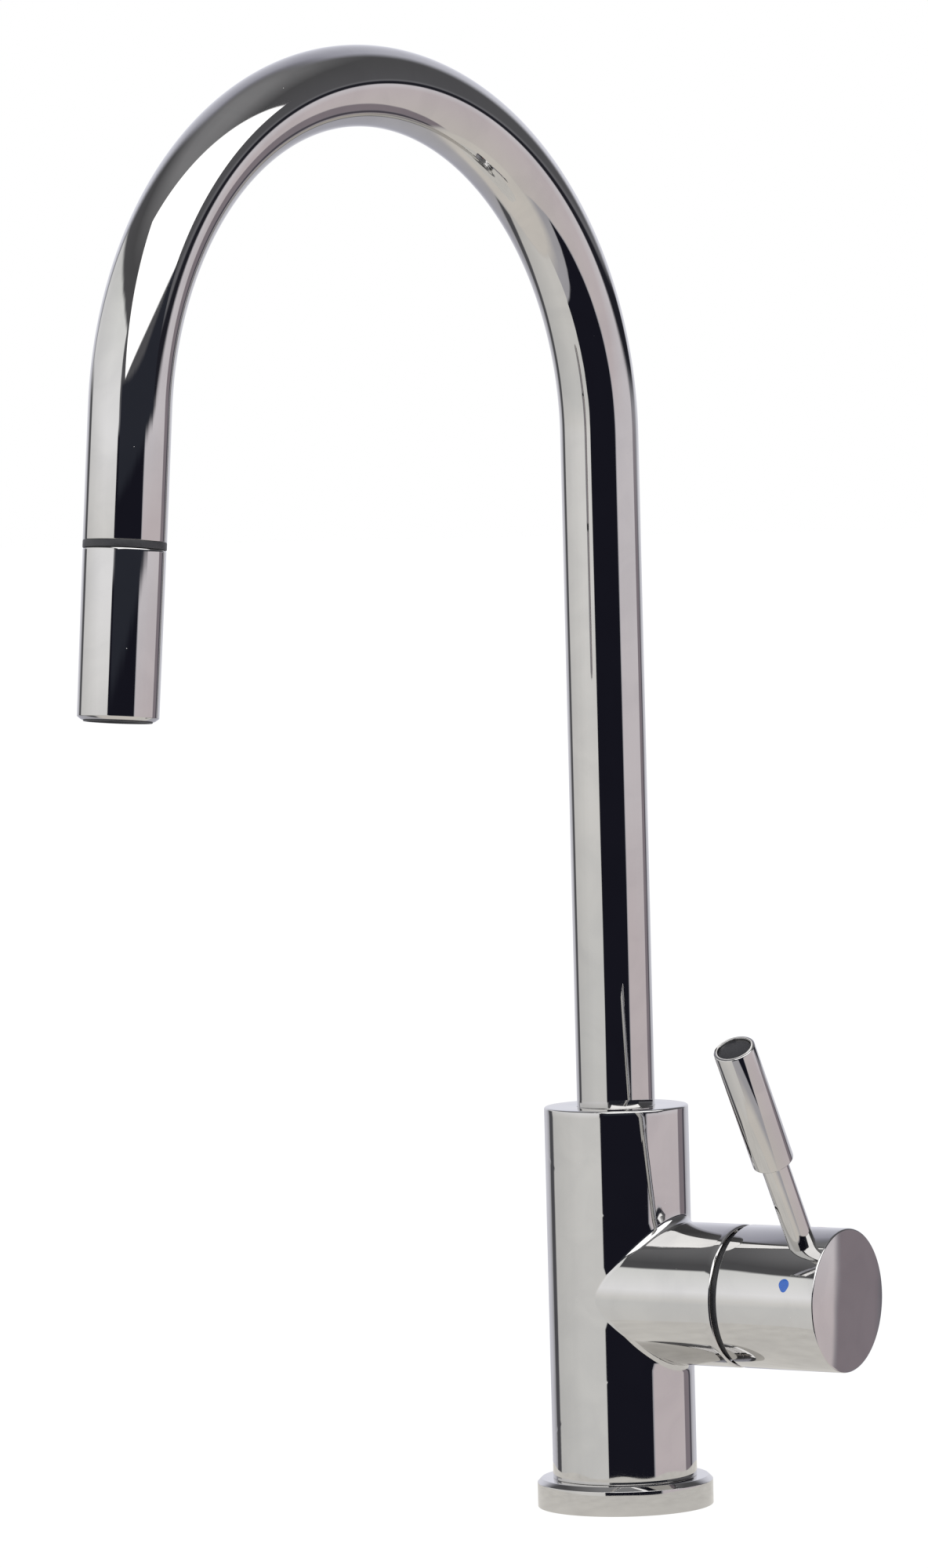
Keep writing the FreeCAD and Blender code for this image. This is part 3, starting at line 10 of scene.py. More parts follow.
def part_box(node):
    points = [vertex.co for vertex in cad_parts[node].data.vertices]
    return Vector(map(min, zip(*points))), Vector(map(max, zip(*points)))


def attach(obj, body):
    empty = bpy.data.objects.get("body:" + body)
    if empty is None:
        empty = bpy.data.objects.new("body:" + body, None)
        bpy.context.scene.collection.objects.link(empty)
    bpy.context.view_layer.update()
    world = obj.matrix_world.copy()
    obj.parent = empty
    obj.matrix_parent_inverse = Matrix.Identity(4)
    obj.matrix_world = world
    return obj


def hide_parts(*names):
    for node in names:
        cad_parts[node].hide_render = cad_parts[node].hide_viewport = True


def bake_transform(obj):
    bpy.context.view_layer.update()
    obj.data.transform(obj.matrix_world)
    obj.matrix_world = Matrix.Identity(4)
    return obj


# Single-hole pull-down kitchen faucet, in metres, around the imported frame: +Z is up the riser and the deck
# plane is z 0. At rest the spout reaches along -Y and the mixer's branch points along +X.
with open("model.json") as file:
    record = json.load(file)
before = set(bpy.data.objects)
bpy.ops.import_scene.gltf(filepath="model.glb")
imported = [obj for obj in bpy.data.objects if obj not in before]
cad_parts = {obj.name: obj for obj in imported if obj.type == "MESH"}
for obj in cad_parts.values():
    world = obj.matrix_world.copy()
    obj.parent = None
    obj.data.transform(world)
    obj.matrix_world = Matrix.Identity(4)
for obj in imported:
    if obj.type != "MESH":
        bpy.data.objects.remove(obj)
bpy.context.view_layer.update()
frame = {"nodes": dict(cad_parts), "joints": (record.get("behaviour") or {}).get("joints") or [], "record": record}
joints = {joint["name"]: joint for joint in frame["joints"]}
MM = 0.001
CREASE = 32          # degrees between faces from which an edge is drawn sharp


# -------------------- base flange
# A turned and polished stainless ring that carries the valve body on the deck.
# It sits under the trunk, centred by the body's spigot, with a black rubber gasket let into its foot.
def measure(node, place):
    """Start, end and largest radius of a CAD node along the Z axis of a place."""
    back = place.inverted()
    points = [back @ vertex.co for vertex in frame["nodes"][node].data.vertices]
    heights = [point.z for point in points]
    return min(heights), max(heights), max(math.hypot(point.x, point.y) for point in points)


def rounded(corners, steps=4):
    """The outline through (radius, height, edge radius) corners, with its edges rounded by short arcs."""
    outline = []
    for number, (radius, height, edge) in enumerate(corners):
        corner = Vector((radius, height))
        if not edge:
            outline.append(corner)
            continue
        before = (Vector(corners[number - 1][:2]) - corner).normalized()
        after = (Vector(corners[(number + 1) % len(corners)][:2]) - corner).normalized()
        half = before.angle(after) / 2
        centre = corner + (before + after).normalized() * edge / math.sin(half)
        first = corner + before * edge / math.tan(half) - centre
        last = corner + after * edge / math.tan(half) - centre
        for step in range(steps + 1):
            outline.append(centre + first.slerp(last, step / steps) * edge)
    return outline


def rows_to_faces(shell, rows, loop):
    """Faces between neighbouring rows of vertices; a row of one vertex is a pole."""
    for low, high in zip(rows, rows[1:]):
        count = max(len(low), len(high))
        for index in range(count if loop else count - 1):
            after = (index + 1) % count
            if len(low) == 1:
                corners = (low[0], high[after], high[index])
            elif len(high) == 1:
                corners = (low[index], low[after], high[0])
            else:
                corners = (low[index], low[after], high[after], high[index])
            shell.faces.new(corners)


def as_piece(shell, name, place, material, crease=CREASE):
    """A smooth shaded object at the origin from a bmesh built in a place's own frame."""
    bmesh.ops.remove_doubles(shell, verts=shell.verts, dist=2e-7)
    bmesh.ops.recalc_face_normals(shell, faces=shell.faces)
    shell.transform(place)
    mesh = bpy.data.meshes.new(name)
    shell.to_mesh(mesh)
    shell.free()
    mesh.polygons.foreach_set("use_smooth", [True] * len(mesh.polygons))
    mesh.set_sharp_from_angle(angle=math.radians(crease))
    mesh.materials.append(material)
    piece = bpy.data.objects.new(name, mesh)
    bpy.context.scene.collection.objects.link(piece)
    return piece


def turned(name, corners, place, material, segments=128, steps=4):
    """A turned piece: the outline goes once round its section, at radius 0 where the piece is solid."""
    shell = bmesh.new()
    outline = rounded(corners, steps)
    solid = outline[0].x == 0 and outline[-1].x == 0
    rows = []
    for point in outline if solid else outline + outline[:1]:
        turns = 1 if point.x == 0 else segments
        rows.append([
            shell.verts.new((
                point.x * math.cos(2 * math.pi * turn / segments),
                point.x * math.sin(2 * math.pi * turn / segments),
                point.y,
            ))
            for turn in range(turns)
        ])
    rows_to_faces(shell, rows, True)
    return as_piece(shell, name, place, material)


def fitted(piece, body, slot, *nodes):
    """The piece moves with its CAD body and stands for these CAD nodes."""
    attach(piece, body)
    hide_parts(*nodes)
    return piece


def node(tree, kind, links=None, **settings):
    """A node with its settings, and its inputs given as values or as sockets to link."""
    made = tree.nodes.new(kind)
    for key, value in settings.items():
        setattr(made, key, value)
    for key, value in (links or {}).items():
        if isinstance(value, bpy.types.NodeSocket):
            tree.links.new(value, made.inputs[key])
        else:
            made.inputs[key].default_value = value
    return made


def maths(tree, operation, *values, clamp=False):
    """The result of one Math node."""
    made = node(tree, "ShaderNodeMath", dict(enumerate(values)), operation=operation, use_clamp=clamp)
    return made.outputs[0]


def between_values(tree, value, low, high, kind="LINEAR"):
    """0 below low, 1 above high."""
    made = node(tree, "ShaderNodeMapRange", {"Value": value, "From Min": low, "From Max": high},
                interpolation_type=kind, clamp=True)
    return made.outputs["Result"]


def noise(tree, vector, scale, detail, **more):
    """Cloudy noise from 0 to 1."""
    inputs = {"Vector": vector, "Scale": scale, "Detail": detail, **more}
    return node(tree, "ShaderNodeTexNoise", inputs).outputs["Fac"]


def new_group(name, output, **inputs):
    """An empty shader node group with one output and these inputs, and a way to calculate in it."""
    tree = bpy.data.node_groups.new(name, "ShaderNodeTree")
    tree.interface.new_socket("Vector", in_out="INPUT", socket_type="NodeSocketVector")
    for label, value in inputs.items():
        socket = tree.interface.new_socket(label, in_out="INPUT", socket_type="NodeSocketFloat")
        socket.default_value = value
    tree.interface.new_socket(output, in_out="OUTPUT", socket_type="NodeSocketFloat")
    return tree, tree.nodes.new("NodeGroupInput").outputs, partial(maths, tree)


def closed_group(tree, result):
    """The group, with its result linked."""
    tree.links.new(result, tree.nodes.new("NodeGroupOutput").inputs[0])
    return tree


def make_smudges():
    """Wiped marks and finger grease: a soft cloudy mask from 0 to 1."""
    tree, given, calc = new_group("smudges", "Mask", Size=0.02, Cover=0.5)
    scale = calc("DIVIDE", 1.0, given["Size"])
    cloud = noise(tree, given["Vector"], scale, 5.0, Distortion=0.8)
    high = calc("SUBTRACT", 1.05, calc("MULTIPLY", given["Cover"], 0.6))
    low = calc("SUBTRACT", high, 0.35)
    return closed_group(tree, between_values(tree, cloud, low, high, "SMOOTHSTEP"))


def make_specks():
    """Settled dust: small bright grains, few and far between."""
    tree, given, calc = new_group("dust_specks", "Mask", Spacing=0.004, Cover=0.1)
    scale = calc("DIVIDE", 1.0, given["Spacing"])
    cells = node(tree, "ShaderNodeTexVoronoi", {"Vector": given["Vector"], "Scale": scale, "Randomness": 1.0})
    chosen = node(tree, "ShaderNodeSeparateColor", {"Color": cells.outputs["Color"]}).outputs
    some = calc("LESS_THAN", chosen[0], given["Cover"])
    size = calc("MULTIPLY_ADD", chosen[1], 0.035, 0.012)
    grain = calc("LESS_THAN", cells.outputs["Distance"], size)
    return closed_group(tree, calc("MULTIPLY", some, grain))


def make_tooling():
    """Height of a machined or polished surface: long waves, and fine marks stretched along one axis."""
    tree, given, calc = new_group("tooling", "Height", Wave=0.03, Mark=0.0006, Marks=0.2)
    waves = noise(tree, given["Vector"], calc("DIVIDE", 1.0, given["Wave"]), 1.0)
    drawn = node(tree, "ShaderNodeVectorMath", {0: given["Vector"], 1: (1.0, 1.0, 0.04)},
                 operation="MULTIPLY")
    marks = noise(tree, drawn.outputs[0], calc("DIVIDE", 1.0, given["Mark"]), 3.0)
    return closed_group(tree, calc("MULTIPLY_ADD", marks, given["Marks"], waves))


smudges = make_smudges()
dust_specks = make_specks()
tooling = make_tooling()


def group_node(tree, group, vector, **values):
    """A shader group placed in a material with its own values."""
    return node(tree, "ShaderNodeGroup", {"Vector": vector, **values}, node_tree=group)


def new_finish(name):
    """A material's tree, its Principled shader and its Object coordinates."""
    material = bpy.data.materials.new(name)
    material.use_nodes = True
    tree = material.node_tree
    shader = tree.nodes["Principled BSDF"]
    coordinates = tree.nodes.new("ShaderNodeTexCoord").outputs["Object"]
    return material, tree, shader, coordinates


def mixed(tree, mask, first, second):
    """A colour between two, by a mask; each is a socket or a colour."""
    first, second = (colour if isinstance(colour, bpy.types.NodeSocket) else (*colour, 1.0)
                     for colour in (first, second))
    return node(tree, "ShaderNodeMix", {0: mask, 6: first, 7: second}, data_type="RGBA").outputs[2]


def bumped(tree, shader, strength, depth, height):
    """Lets a height texture bend the shader's normals."""
    bump = node(tree, "ShaderNodeBump", {"Strength": strength, "Distance": depth, "Height": height})
    tree.links.new(bump.outputs["Normal"], shader.inputs["Normal"])


def metal_finish(name, bright, dull, gloss, haze, wave, mark, marks, depth, dust=0.05):
    """A bare metal: smudges vary its colour and gloss, tooling its surface, and a little dust lies on it."""
    material, tree, shader, place = new_finish(name)
    greasy = group_node(tree, smudges, place, Size=0.018, Cover=0.6).outputs["Mask"]
    specks = group_node(tree, dust_specks, place, Spacing=0.0035, Cover=dust).outputs["Mask"]
    tint = mixed(tree, greasy, bright, dull)
    tree.links.new(mixed(tree, specks, tint, (0.62, 0.61, 0.6)), shader.inputs["Base Color"])
    rough = maths(tree, "MULTIPLY_ADD", greasy, haze, gloss)
    rough = maths(tree, "MAXIMUM", rough, maths(tree, "MULTIPLY", specks, 0.7))
    tree.links.new(rough, shader.inputs["Roughness"])
    tree.links.new(maths(tree, "SUBTRACT", 1.0, specks), shader.inputs["Metallic"])
    surface = group_node(tree, tooling, place, Wave=wave, Mark=mark, Marks=marks).outputs["Height"]
    bumped(tree, shader, 1.0, depth, surface)
    return material


polished_steel = metal_finish("polished_steel", (0.64, 0.632, 0.62), (0.6, 0.593, 0.585), 0.018, 0.028,
                              0.035, 0.0005, 0.012, 0.00001)

deck = Matrix.Identity(4)
FLANGE_BORE = 20.05 * MM
GROOVE = (24.5 * MM, 28.5 * MM, 1.5 * MM)
flange_foot, flange_top, flange_radius = measure("base_flange", deck)
flange = turned("base_flange_polished", (
    (FLANGE_BORE, flange_foot, 0),
    (GROOVE[0], flange_foot, 0),
    (GROOVE[0], GROOVE[2], 0),
    (GROOVE[1], GROOVE[2], 0),
    (GROOVE[1], flange_foot, 0),
    (flange_radius, flange_foot, 0.3 * MM),
    (flange_radius, flange_top - 1.5 * MM, 0.25 * MM),
    (flange_radius - 1.5 * MM, flange_top, 0.35 * MM),
    (FLANGE_BORE, flange_top, 0),
), deck, polished_steel, 160)
fitted(flange, "body", "polished_steel", "base_flange")


# -------------------- mounting shank and jack screws
# The M33 brass shank screws into the body from below and passes through the deck. Three steel jack screws
# in its nut press a steel washer and a rubber washer against the worktop.
def plastic_finish(name, colour, second, gloss, grain, depth, fleck=0.0):
    """A moulded piece: a fine spark-eroded grain, slight cloudiness, rubbed spots and a little dust."""
    material, tree, shader, place = new_finish(name)
    cloudy = group_node(tree, smudges, place, Size=0.012, Cover=0.75).outputs["Mask"]
    specks = group_node(tree, dust_specks, place, Spacing=0.003, Cover=0.08).outputs["Mask"]
    body_colour = mixed(tree, cloudy, colour, second)
    if fleck:
        light = between_values(tree, noise(tree, place, 1400.0, 2.0), 0.62, 0.72)
        body_colour = mixed(tree, maths(tree, "MULTIPLY", light, fleck), body_colour, (0.8, 0.8, 0.8))
    tree.links.new(mixed(tree, specks, body_colour, (0.55, 0.54, 0.53)), shader.inputs["Base Color"])
    tree.links.new(maths(tree, "MULTIPLY_ADD", cloudy, 0.12, gloss), shader.inputs["Roughness"])
    bumped(tree, shader, 0.6, depth, noise(tree, place, 1.0 / grain, 3.0))
    return material


brass = metal_finish("turned_brass", (0.74, 0.56, 0.29), (0.56, 0.4, 0.2), 0.24, 0.16,
                     0.006, 0.0003, 0.35, 0.00002, 0.12)
zinc = metal_finish("zinc_plate", (0.6, 0.61, 0.62), (0.5, 0.5, 0.46), 0.3, 0.18,
                    0.004, 0.0004, 0.4, 0.00003, 0.12)
rubber = plastic_finish("black_rubber", (0.032, 0.032, 0.032), (0.06, 0.058, 0.056),
                        0.7, 0.0004, 0.00005)
black_plastic = plastic_finish("black_acetal", (0.022, 0.022, 0.026), (0.034, 0.034, 0.038),
                               0.34, 0.0003, 0.00002)
white_plastic = plastic_finish("white_acetal", (0.84, 0.84, 0.81), (0.76, 0.75, 0.72),
                               0.36, 0.0004, 0.00002)
grey_plastic = plastic_finish("grey_nylon", (0.4, 0.41, 0.43), (0.34, 0.35, 0.36),
                              0.45, 0.0005, 0.00004, 0.35)
ceramic = plastic_finish("lapped_ceramic", (0.86, 0.84, 0.79), (0.8, 0.77, 0.71),
                         0.12, 0.0008, 0.000004)
ceramic.node_tree.nodes["Principled BSDF"].inputs["Coat Weight"].default_value = 0.3


def shaping_tree(name, *labels):
    """An empty Geometry Nodes tree whose inputs are a mesh, these values and a finish."""
    tree = bpy.data.node_groups.new(name, "GeometryNodeTree")
    tree.interface.new_socket("Geometry", in_out="INPUT", socket_type="NodeSocketGeometry")
    for label in labels:
        kind = "NodeSocketInt" if label == "Count" else "NodeSocketFloat"
        tree.interface.new_socket(label, in_out="INPUT", socket_type=kind)
    tree.interface.new_socket("Finish", in_out="INPUT", socket_type="NodeSocketMaterial")
    tree.interface.new_socket("Geometry", in_out="OUTPUT", socket_type="NodeSocketGeometry")
    return tree, tree.nodes.new("NodeGroupInput").outputs


def point_place(tree):
    """The three coordinates of each point."""
    position = node(tree, "GeometryNodeInputPosition").outputs[0]
    return node(tree, "ShaderNodeSeparateXYZ", {0: position}).outputs


def moved_points(tree, given, x, y, z):
    """The mesh with its points moved to new coordinates."""
    moved = node(tree, "ShaderNodeCombineXYZ", {0: x, 1: y, 2: z}).outputs[0]
    return node(tree, "GeometryNodeSetPosition", {"Geometry": given["Geometry"], "Position": moved})


def closed_tree(tree, given, shaped):
    """The tree's last steps: its result as real geometry in its finish."""
    real = node(tree, "GeometryNodeRealizeInstances", {"Geometry": shaped.outputs[0]})
    painted = node(tree, "GeometryNodeSetMaterial",
                   {"Geometry": real.outputs[0], "Material": given["Finish"]})
    tree.links.new(painted.outputs[0], tree.nodes.new("NodeGroupOutput").inputs[0])
    return tree


def thread_tree():
    """Geometry Nodes: presses a helical thread into the outside of a fine turned rod along Z."""
    tree, given = shaping_tree("rolled_thread", "Crest Radius", "Pitch", "Depth", "Low", "High")
    calc = partial(maths, tree)
    x, y, z = point_place(tree)
    turn = calc("DIVIDE", calc("ARCTAN2", y, x), 2 * math.pi)
    phase = calc("FRACT", calc("ADD", calc("DIVIDE", z, given["Pitch"]), turn))
    groove = calc("MULTIPLY", calc("ABSOLUTE", calc("SUBTRACT", phase, 0.5)), 2.0)
    groove = between_values(tree, groove, 0.12, 0.88)
    radius = calc("POWER", calc("ADD", calc("MULTIPLY", x, x), calc("MULTIPLY", y, y)), 0.5)
    skin = calc("GREATER_THAN", radius, calc("SUBTRACT", given["Crest Radius"], 0.00001))
    inside = calc("MULTIPLY", calc("GREATER_THAN", z, given["Low"]), calc("LESS_THAN", z, given["High"]))
    cut = calc("MULTIPLY", calc("MULTIPLY", groove, given["Depth"]), calc("MULTIPLY", skin, inside))
    shrink = calc("DIVIDE", calc("SUBTRACT", radius, cut), calc("MAXIMUM", radius, 1e-6))
    shaped = moved_points(tree, given, calc("MULTIPLY", x, shrink), calc("MULTIPLY", y, shrink), z)
    return closed_tree(tree, given, shaped)


def evaluated(piece):
    """The piece's mesh with its modifiers applied."""
    return bpy.data.meshes.new_from_object(piece.evaluated_get(bpy.context.evaluated_depsgraph_get()))


def cut_by(piece, cutter):
    """The piece's mesh less a cutter, which is used up."""
    hole = piece.modifiers.new("hole", "BOOLEAN")
    hole.object = cutter
    hole.solver = "EXACT"
    mesh = evaluated(piece)
    piece.modifiers.remove(hole)
    bpy.data.objects.remove(cutter)
    return mesh


def grown(piece, tree, **values):
    """The piece as a plain mesh after a Geometry Nodes tree with these named inputs has shaped it."""
    modifier = piece.modifiers.new(tree.name, "NODES")
    modifier.node_group = tree
    for item in tree.interface.items_tree:
        label = item.name.replace(" ", "_").lower()
        if item.in_out == "INPUT" and label in values:
            modifier[item.identifier] = values[label]
    shaped = evaluated(piece)
    piece.modifiers.remove(modifier)
    shaped.name = piece.name
    piece.data = shaped
    return piece


def slices(radius, low, high, step):
    """Corners up the side of a rod at every step."""
    count = max(2, round((high - low) / step))
    return [(radius, low + (high - low) * index / count, 0) for index in range(count + 1)]


rolled_thread = thread_tree()
SHANK_BORE = 14.7 * MM
SHANK_PITCH = 1.5 * MM
RELIEF = (0.8 * MM, 1.0 * MM, 4.0 * MM)
shank_foot, shank_top, shank_radius = measure("mounting_shank", deck)
shank = turned("mounting_shank_threaded", (
    (SHANK_BORE, shank_foot, 0),
    (shank_radius - 1.0 * MM, shank_foot, 0),
    *slices(shank_radius, shank_foot + 1.0 * MM, RELIEF[1], SHANK_PITCH / 8),
    (shank_radius - RELIEF[0], RELIEF[1], 0),
    (shank_radius - RELIEF[0], RELIEF[2], 0),
    (shank_radius, RELIEF[2], 0),
    (shank_radius, shank_top, 0),
    (SHANK_BORE, shank_top, 0),
), deck, brass, 64)
grown(shank, rolled_thread, crest_radius=shank_radius, pitch=SHANK_PITCH, depth=0.8 * MM,
      low=shank_foot + 1.2 * MM, high=RELIEF[1] - 0.2 * MM, finish=brass)
fitted(shank, "body", "brass", "mounting_shank")

temperature = joints["temperature"]
branch_way = Vector(temperature["axis"]).normalized()
branch_turn = math.atan2(branch_way.y, branch_way.x)
turned_body = Matrix.Rotation(branch_turn, 4, "Z")
JACKS = 3
JACK_CIRCLE = 20.5 * MM
JACK_RADIUS = 2.5 * MM
JACK_HEAD = (4.0 * MM, 4.0 * MM)
JACK_SLOT = 1.0 * MM
jack_foot, jack_top, _ = measure("jack_screws", deck)
jacks = bmesh.new()
for number in range(JACKS):
    jack_place = turned_body @ Matrix.Rotation(2 * math.pi * number / JACKS, 4, "Z") \
        @ Matrix.Translation((JACK_CIRCLE, 0, 0))
    head_top = jack_foot + JACK_HEAD[1]
    jack = turned("jack_screw", (
        (0, jack_foot, 0),
        (JACK_HEAD[0], jack_foot, 0.4 * MM),
        (JACK_HEAD[0], head_top, 0.2 * MM),
        *slices(JACK_RADIUS, head_top, jack_top - 0.4 * MM, 0.1 * MM),
        (JACK_RADIUS - 0.4 * MM, jack_top, 0),
        (0, jack_top, 0),
    ), deck, zinc, 40)
    grown(jack, rolled_thread, crest_radius=JACK_RADIUS, pitch=0.8 * MM, depth=0.4 * MM,
          low=head_top + 0.5 * MM, high=jack_top - 0.6 * MM, finish=zinc)
    slot_cut = bmesh.new()
    bmesh.ops.create_cube(slot_cut, size=1.0)
    slot_cut.transform(Matrix.Translation((0, 0, jack_foot)) @ Matrix.Diagonal(
        (2.2 * JACK_HEAD[0], JACK_SLOT, JACK_HEAD[1], 1.0)))
    cut_mesh = cut_by(jack, as_piece(slot_cut, "jack_slot", deck, zinc))
    cut_mesh.transform(jack_place)
    jacks.from_mesh(cut_mesh)
    bpy.data.objects.remove(jack)
fitted(as_piece(jacks, "jack_screws_threaded", deck, zinc), "clamp", "raw_steel", "jack_screws")


# -------------------- valve body
# One stainless casting, mirror polished: the upright trunk, the side branch for the cartridge and a small
# blend between them. The spout plugs into its top, the shank into its foot and the mixer into the branch.
TRUNK_RADIUS = 25.0 * MM
BRANCH_RADIUS = 24.6 * MM
BLEND_RADIUS = 3.0 * MM
TRUNK_TOP_BEVEL = 0.7 * MM
TRUNK_FOOT_BEVEL = 0.25 * MM
SPIGOT_RADIUS = 20.0 * MM
SHANK_RADIUS = 16.5 * MM
RECESS_ROOF = 19.0 * MM
SOCKET = (13.55 * MM, 117.0 * MM, 12.0 * MM, 98.0 * MM)
BRANCH_END = 49.9 * MM
BRANCH_MOUTH = (19.0 * MM, 43.0 * MM, 17.65 * MM, 12.5 * MM)
LOCK_HOLE = (2.5 * MM, 107.5 * MM)
UP_STEPS = 56
ROUND_STEPS = 144
PATCH_ROWS = 22
BLEND_ROWS = 8
body_foot, body_top, _ = measure("valve_body", deck)
hub = Vector(temperature["pos_m"])
hub_height = hub.z


def trunk_rim():
    """The unrolled trunk's border, as (angle, height) once round: up one side of its seam, over and back."""
    low = flange_top + TRUNK_FOOT_BEVEL
    high = body_top - TRUNK_TOP_BEVEL
    up = [(math.pi, low + (high - low) * step / UP_STEPS) for step in range(UP_STEPS)]
    over = [(math.pi - 2 * math.pi * step / ROUND_STEPS, high) for step in range(ROUND_STEPS)]
    down = [(-math.pi, high - (high - low) * step / UP_STEPS) for step in range(UP_STEPS)]
    under = [(2 * math.pi * step / ROUND_STEPS - math.pi, low) for step in range(ROUND_STEPS)]
    return up + over + down + under


def blend_centre(turn):
    """Centre of a ball that rolls round the corner between trunk and branch, in the branch's frame."""
    side = (BRANCH_RADIUS + BLEND_RADIUS) * math.cos(turn)
    rise = (BRANCH_RADIUS + BLEND_RADIUS) * math.sin(turn)
    return Vector((math.sqrt((TRUNK_RADIUS + BLEND_RADIUS) ** 2 - side ** 2), side, rise))


def valve_body_shell():
    """The outside follows three families of rows round the branch: trunk, blend and branch."""
    shell = bmesh.new()
    rim = trunk_rim()
    widest = TRUNK_RADIUS * math.atan2(BRANCH_RADIUS + BLEND_RADIUS, blend_centre(0).x)
    turns = [math.atan2((height - hub_height) / (BRANCH_RADIUS + BLEND_RADIUS), angle * TRUNK_RADIUS / widest)
             for angle, height in rim]
    centres = [blend_centre(turn) for turn in turns]
    rows = []
    for row in range(PATCH_ROWS):
        share = row / PATCH_ROWS
        points = []
        for (angle, height), centre in zip(rim, centres):
            near = math.atan2(centre.y, centre.x)
            at = angle + (near - angle) * share
            z = height + (hub_height + centre.z - height) * share
            points.append(shell.verts.new((TRUNK_RADIUS * math.cos(at), TRUNK_RADIUS * math.sin(at), z)))
        rows.append(points)
    for row in range(BLEND_ROWS + 1):
        points = []
        for turn, centre in zip(turns, centres):
            to_trunk = Vector((-centre.x, -centre.y, 0)).normalized()
            to_branch = Vector((0, -math.cos(turn), -math.sin(turn)))
            touch = centre + to_trunk.slerp(to_branch, row / BLEND_ROWS) * BLEND_RADIUS
            points.append(shell.verts.new((touch.x, touch.y, hub_height + touch.z)))
        rows.append(points)
    end = rounded((
        (BRANCH_RADIUS, BRANCH_END - 3.0 * MM, 0),
        (BRANCH_RADIUS, BRANCH_END, 0.8 * MM),
        (BRANCH_MOUTH[0], BRANCH_END, 0.2 * MM),
        (BRANCH_MOUTH[0], BRANCH_MOUTH[1], 0),
        (BRANCH_MOUTH[2], BRANCH_MOUTH[1], 0),
        (BRANCH_MOUTH[2], BRANCH_MOUTH[3], 0),
        (0, BRANCH_MOUTH[3], 0),
    ))
    middle = [Vector((BRANCH_RADIUS, share)) for share in (0.25, 0.5, 0.75)]
    for point in middle + end:
        if point.x == 0:
            rows.append([shell.verts.new((point.y, 0, hub_height))])
            continue
        points = []
        for turn, centre in zip(turns, centres):
            reach = centre.x + (end[0].y - centre.x) * point.y if point in middle else point.y
            side, rise = point.x * math.cos(turn), point.x * math.sin(turn)
            points.append(shell.verts.new((reach, side, hub_height + rise)))
        rows.append(points)
    rows_to_faces(shell, rows, True)
    over = rows[0][UP_STEPS:UP_STEPS + ROUND_STEPS]
    under = rows[0][2 * UP_STEPS + ROUND_STEPS:]
    top = rounded((
        (TRUNK_RADIUS, body_top - 3 * MM, 0),
        (TRUNK_RADIUS, body_top, TRUNK_TOP_BEVEL),
        (SOCKET[0], body_top, 0.25 * MM),
        (SOCKET[0], SOCKET[1], 0),
        (SOCKET[2], SOCKET[1], 0),
        (SOCKET[2], SOCKET[3], 0),
        (0, SOCKET[3], 0),
    ))
    foot = rounded((
        (TRUNK_RADIUS, flange_top + 3 * MM, 0),
        (TRUNK_RADIUS, flange_top, TRUNK_FOOT_BEVEL),
        (SPIGOT_RADIUS, flange_top, 0),
        (SPIGOT_RADIUS, body_foot, 0),
        (SHANK_RADIUS, body_foot, 0),
        (SHANK_RADIUS, RECESS_ROOF, 0),
        (0, RECESS_ROOF, 0),
    ))
    for ring, outline in ((over, top), (under, foot)):
        angles = [math.atan2(vertex.co.y, vertex.co.x) for vertex in ring]
        stack = [ring]
        for point in outline[2:]:
            turns_here = angles if point.x else angles[:1]
            stack.append([shell.verts.new((point.x * math.cos(at), point.x * math.sin(at), point.y))
                          for at in turns_here])
        rows_to_faces(shell, stack, True)
    return shell


def drilled(piece, radius, length, place):
    """The piece with a round hole of this radius that starts at the place and runs along its Z axis."""
    drill = turned("drill", ((0, 0, 0), (radius, 0, 0), (radius, length, 0), (0, length, 0)), place,
                   piece.data.materials[0], 48)
    made = cut_by(piece, drill)
    made.name = piece.name
    made.set_sharp_from_angle(angle=math.radians(CREASE))
    piece.data = made
    return piece


valve_body = as_piece(valve_body_shell(), "valve_body_polished", turned_body, polished_steel)
lock_way = turned_body @ Matrix.Translation((0, 0, LOCK_HOLE[1])) @ Matrix.Rotation(-math.pi / 2, 4, "X")
drilled(valve_body, LOCK_HOLE[0], TRUNK_RADIUS - SOCKET[2] - 4 * MM,
        lock_way @ Matrix.Translation((0, 0, SOCKET[2] + 4.5 * MM)))
fitted(valve_body, "body", "polished_steel", "valve_body")


# -------------------- spout tube
# A 27 mm stainless tube bent once over its former and polished: straight riser, round arch, short leg.
# It turns in the body's socket on a brass sleeve brazed inside its foot.
RISER_TOP = 371.0 * MM
ARCH_RADIUS = 117.0 * MM
TUBE_RADIUS = 13.5 * MM
TUBE_BORE = 12.0 * MM
LEG_LENGTH = 43.0 * MM
ARCH_STEPS = 168
leg_way = Vector(joints["head_pull"]["axis"]).normalized()
arch_angle = math.pi - math.asin(-leg_way.y)
leg_start = Vector((0, ARCH_RADIUS * (math.cos(arch_angle) - 1),
                    RISER_TOP + ARCH_RADIUS * math.sin(arch_angle)))


